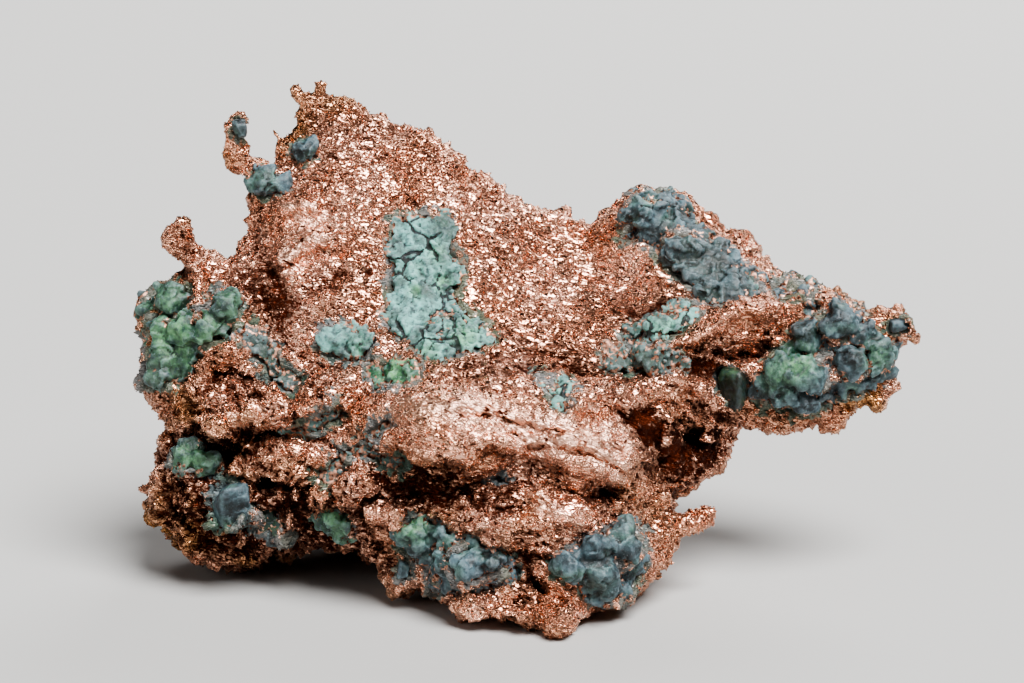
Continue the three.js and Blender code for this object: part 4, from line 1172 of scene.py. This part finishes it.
def mineral_bed(node, cell, rise, seed):
    """The mineral's own body, widened raggedly to meet the copper."""
    mesh = remeshed(node.data.copy(), cell, node.name + "_bed")
    skin = Skin(mesh)
    skin.soften(6)
    normals = skin.normals()
    side = side_of(node.name)
    outward = normals @ OUT_OF_FACE
    sideways = normals - outward[:, None] * OUT_OF_FACE
    ragged = 0.4 + 1.6 * layered_noise(skin.points, 0.9, 2, seed)
    ragged = ragged + 1.4 * layered_noise(skin.points, 0.4, 2, seed)
    skin.points += (BED_SPREAD * np.clip(ragged, -0.5, 1.6))[:, None] * sideways
    skin.points += (side * rise * np.clip(side * outward, 0, 1))[:, None] * OUT_OF_FACE
    skin.store()
    return triangulated(mesh)


def outer_area(mesh, side):
    """Area of the mesh that looks out of the face, in square mm."""
    points, faces = triangulated(mesh)
    a, b, c = (points[faces[:, i]] for i in range(3))
    return np.sum(np.clip(side * (np.cross(b - a, c - a) @ OUT_OF_FACE), 0, None) / 2)


def scattered_crystals(node, typical, is_crystal, rng):
    """Crystals of mixed sizes grown into each other over the node's outer face."""
    side = side_of(node.name)
    count = CRYSTALS_AT_LEAST + int(CRYSTALS_PER_AREA * outer_area(node.data, side))
    spots, normals, _ = surface_samples(node.data, count, rng)
    outer = side * (normals @ OUT_OF_FACE) > 0.1
    spots, normals = spots[outer], normals[outer]
    share = rng.uniform(0.0, 1.0, len(spots)) ** 2
    radii = typical * (0.55 + 1.6 * share) if is_crystal else typical * (0.4 + 0.6 * share)
    kept = spaced_spots(spots, radii, 0.5 if is_crystal else 0.62)
    ball, faces = unit_ball(3)
    parts = []
    for i in kept:
        shape = crystal_points(ball, rng, 40) * rng.uniform(0.6, 1.15, 3) * radii[i]
        centre = spots[i] - normals[i] * radii[i] * (0.45 if is_crystal else 0.85)
        parts.append((shape @ random_turns(rng, 1)[0].T + centre, faces))
    return parts, spots[kept]


def lone_crystal(name, rng):
    """One crystal that fills its node's box and stands a little out of it, as parts and middles."""
    low, high = (np.array(corner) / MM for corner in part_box(name))
    ball, faces = unit_ball(4)
    sharpness, growth = (6, 1.55) if name == ROUNDED_CRYSTAL else (18, 1.3)
    shape = crystal_points(ball, rng, sharpness, 0.25)
    shape = shape / np.max(np.abs(shape), axis=0) * (high - low) / 2 * growth
    middle = (low + high) / 2
    return [(shape + middle, faces)], np.array([middle])


def mineral_parts(name, settings, is_crystal, rng, seed):
    """The bodies that a mineral piece is made of, and the middles of its crystals."""
    if name.startswith("crystal_"):
        return lone_crystal(name, rng)
    node = frame["nodes"][name]
    rise = 0.3 if name.startswith("crystals") else -0.1
    rise -= 0.12 if name in FLUSH_CRUSTS else 0.0
    size = CRYSTAL_SIZES.get(name, 0.6 if name in FILM_CRUSTS else 1.0)
    grown, spots = scattered_crystals(node, settings.crystal_radius / MM * size, is_crystal, rng)
    return [mineral_bed(node, settings.mineral_cell, rise, seed), *grown], spots


def paint_cracks(points, seed):
    """One on the plates of a crust cracked like dry paint, and zero in its cracks."""
    ragged = wandering(wandering(points, 1.0, 0.4, seed), 0.3, 0.1, seed)
    near, second, _ = cells(ragged, 1.7, seed)
    open_here = np.clip(3 * layered_noise(points, 1.4, 2, seed + 3) + 1.3, 0, 1)
    return 1 - open_here * (1 - np.clip((second - near) / 0.09, 0, 1))


def roughen_mineral(skin, name, is_crystal, seed):
    """Chips and cracks a mineral's surface, and says where its plates are whole."""
    rough = 1.0
    if name.startswith("crystals"):
        rough = 0.55
    elif name.startswith("crystal_"):
        rough = 0.35
    chunk, chip = (0.85, 0.22) if is_crystal else (0.5, 0.1)
    normals = skin.normals()
    push = rough * 0.06 * ridged_noise(skin.points, 0.7, 4, seed)
    push += rough * 0.05 * layered_noise(skin.points, 0.26, 2, seed + 5)
    push += rough * chip * cells(wandering(skin.points, 0.6, 0.12, seed), chunk, seed)[2]
    whole = np.ones(len(push))
    if name in CRACKED_CRUSTS:
        whole = paint_cracks(skin.points, seed)
        push += 0.12 * (whole - 1)
    skin.points += push[:, None] * normals
    skin.store()
    return whole


def near_places(across, up, places, start, weight=1.0):
    """The strongest of the places at each point, where it is stronger than the start."""
    strongest = start
    for u, v, reach, strength in places:
        gap = np.hypot(across - u, up - v) / reach
        strongest = np.maximum(strongest, strength * np.exp(-gap * gap) * weight)
    return strongest


def mineral_values(skin, name, whole, spots, copper_points, rng):
    """How hollow, toned, green, coppery and dull the mineral is at each point; hollow places and cracks
    are painted dark as shade, and crests pale as a highlight.
    """
    # painted shade in hollows and dark cracks; painted highlight on crests where it is negative
    hollow = 0.6 * skin.hollowness(20) / 0.15 + 0.35 * skin.hollowness(3) / 0.03 + 1.3 * (1 - whole)
    crystal, _ = nearest_of(skin.points, spots)
    _, bare = nearest_of(skin.points, copper_points)
    across, up, _ = face_places(skin.points)
    green = 0.4 * layered_noise(skin.points, 1.0, 2, 77)
    if side_of(name) > 0:
        green = near_places(across, up, GREEN_PLACES, green)
    reach = 0.55 if name in FILM_CRUSTS else 0.3
    coppery = 0.4 if name.startswith("crystal_") else 1
    cloudy = np.clip(0.9 + layered_noise(skin.points, 0.6, 2, 78), 0, 1)
    dull = np.full(len(skin.points), DULL_CRUSTS.get(name, 0.0))
    return {
        "hollow": np.clip(hollow, -0.5, 1.3),
        "tone": skin.averaged(rng.random(len(spots))[crystal], 3),
        "green": np.clip(green, 0, 1),
        "edge": np.clip(1 - bare / reach, 0, 1) * coppery,
        "dull": near_places(across, up, DULL_PLACES, dull, cloudy),
    }


def build_mineral(name, settings, copper_points, seed):
    """One crust, crystal or group of crystals, grown out of its node."""
    rng = np.random.default_rng(seed)
    is_crystal = name.startswith("crystal") or name in LUMPY_CRUSTS
    parts, spots = mineral_parts(name, settings, is_crystal, rng, seed)
    mesh = remeshed(joined_mesh(name, parts), settings.mineral_cell, name + "_grown")
    obj = new_object(name + "_grown", without_crumbs(mesh, MINERAL_CRUMB))
    skin = Skin(mesh)
    whole = roughen_mineral(skin, name, is_crystal, seed)
    for label, value in mineral_values(skin, name, whole, spots, copper_points, rng).items():
        skin.set_value(label, value)
    mesh.shade_smooth()
    finish_piece(obj, mineral_look(slots[name], settings), [name])


def build_minerals(settings, kind):
    """Every mineral piece whose name starts with the kind."""
    copper_points = Skin(bpy.data.objects["copper"].data).points
    for number, name in enumerate(sorted(frame["nodes"])):
        if name.startswith(kind):
            build_mineral(name, settings, copper_points, 100 + number)


# ------------------------------------------------------------------ studio


FLOOR_REACH = 6.0  # metres from the middle to each side, so that its end is far out of sight
KEY_FROM = (0.09, -0.13, 0.26)  # the direction the key light comes from
KEY_SPREAD = math.radians(34)  # how wide it looks; wide light has soft shadows
KEY_STRENGTH = 7.2
BACKGROUND_STRENGTH = 1.35
CAMERA_DISTANCE = 0.2133  # metres
CAMERA_LENS = 150  # mm
CAMERA_SENSOR = 36  # mm across
AIM_OFFSET = -0.95 * MM  # the camera looks a little left of the copper's middle


def build_floor():
    """A wide pale floor."""
    reach = FLOOR_REACH
    mesh = bpy.data.meshes.new("studio_floor")
    corners = [(-reach, -reach, 0), (reach, -reach, 0), (reach, reach, 0), (-reach, reach, 0)]
    mesh.from_pydata(corners, [], [(0, 1, 2, 3)])
    floor = new_object("studio_floor", mesh)
    # Matt paper card: the eye gets an even pale ground with soft shadows and no glints.
    material, tree = new_material("studio_card_matt")
    card = {"Base Color": hex_colour("#B4B3B1"), "Roughness": 0.8}
    shader = add_node(tree, "ShaderNodeBsdfPrincipled", card)
    add_node(tree, "ShaderNodeOutputMaterial", {"Surface": shader})
    mesh.materials.append(material)


def add_light(name, kind, facing, **settings):
    """A light whose back is turned to the given direction."""
    lamp = bpy.data.lights.new(name, kind)
    for key, value in settings.items():
        setattr(lamp, key, value)
    light = new_object(name, lamp)
    light.rotation_euler = Vector(facing).to_track_quat("Z", "Y").to_euler()
    return light


def build_background():
    """A pale backdrop that only the camera sees, so that the lights alone light the nugget."""
    world = bpy.data.worlds.new("studio_grey")
    world.use_nodes = True
    backdrop = world.node_tree.nodes["Background"].inputs
    backdrop["Color"].default_value = hex_colour("#D8DADC")
    backdrop["Strength"].default_value = BACKGROUND_STRENGTH
    bpy.context.scene.world = world
    for ray in ("diffuse", "glossy", "transmission", "scatter"):
        setattr(world.cycles_visibility, ray, False)


def build_camera(target):
    """A camera that looks straight at the leaning face."""
    camera = bpy.data.cameras.new("camera")
    camera.lens = CAMERA_LENS
    camera.sensor_width = CAMERA_SENSOR
    camera.clip_start = 0.01
    seat = new_object("camera", camera)
    towards_camera = Vector(OUT_OF_FACE)
    seat.location = target + towards_camera * CAMERA_DISTANCE
    seat.rotation_euler = towards_camera.to_track_quat("Z", "Y").to_euler()
    bpy.context.scene.camera = seat


def build_studio():
    """The floor, the lights, the backdrop and the camera."""
    low, high = (Vector(corner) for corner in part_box(COPPER_NODE))
    target = (low + high) / 2 + Vector((AIM_OFFSET, 0, 0))
    build_floor()
    add_light("key_light", "SUN", KEY_FROM, angle=KEY_SPREAD, energy=KEY_STRENGTH)
    for name, place, size, watts in (
        ("fill_softbox", (-0.26, -0.16, 0.14), (0.2, 0.2), 0.2),
        ("rim_softbox", (0.12, 0.24, 0.2), (0.2, 0.14), 0.6),
    ):
        shape = {"shape": "RECTANGLE", "size": size[0], "size_y": size[1]}
        light = add_light(name, "AREA", Vector(place) - target, energy=watts, **shape)
        light.location = place
    build_background()
    build_camera(target)
    bpy.context.scene.view_settings.look = "AgX - Medium High Contrast"


# ------------------------------------------------------------------ operators and panel


class NUGGET_OT_copper(bpy.types.Operator):
    """Build the hackly copper mass and the grains on it"""

    bl_idname = "nugget.copper"
    bl_label = "Copper"

    def execute(self, context):
        settings = context.scene.nugget
        copper, values = build_copper(settings)
        grow_grains(settings, copper, values)
        return {"FINISHED"}


class NUGGET_OT_crusts(bpy.types.Operator):
    """Build the mineral crusts set into the copper"""

    bl_idname = "nugget.crusts"
    bl_label = "Crusts"

    def execute(self, context):
        build_minerals(context.scene.nugget, "crust")
        return {"FINISHED"}


class NUGGET_OT_crystals(bpy.types.Operator):
    """Build the crystal groups"""

    bl_idname = "nugget.crystals"
    bl_label = "Crystals"

    def execute(self, context):
        build_minerals(context.scene.nugget, "crystal")
        return {"FINISHED"}


class NUGGET_OT_studio(bpy.types.Operator):
    """Set up the floor, the lights and the camera"""

    bl_idname = "nugget.studio"
    bl_label = "Studio"

    def execute(self, context):
        build_studio()
        return {"FINISHED"}


class NUGGET_PT_panel(bpy.types.Panel):
    """Sizes, colours and the build steps of the nugget"""

    bl_label = "Copper nugget"
    bl_idname = "NUGGET_PT_panel"
    bl_space_type = "VIEW_3D"
    bl_region_type = "UI"
    bl_category = "Nugget"

    def draw(self, context):
        settings = context.scene.nugget
        for name in NuggetSettings.__annotations__:
            self.layout.prop(settings, name)
        for operator in OPERATORS:
            self.layout.operator(operator.bl_idname)


OPERATORS = (NUGGET_OT_copper, NUGGET_OT_crusts, NUGGET_OT_crystals, NUGGET_OT_studio)
CLASSES = (NuggetSettings, *OPERATORS, NUGGET_PT_panel)


def register():
    for item in CLASSES:
        bpy.utils.register_class(item)
    bpy.types.Scene.nugget = PointerProperty(type=NuggetSettings)


def unregister():
    del bpy.types.Scene.nugget
    for item in reversed(CLASSES):
        bpy.utils.unregister_class(item)


def main():
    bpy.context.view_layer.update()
    register()
    bpy.ops.nugget.copper()
    bpy.ops.nugget.crusts()
    bpy.ops.nugget.crystals()
    bpy.ops.nugget.studio()


if __name__ == "__main__":
    main()
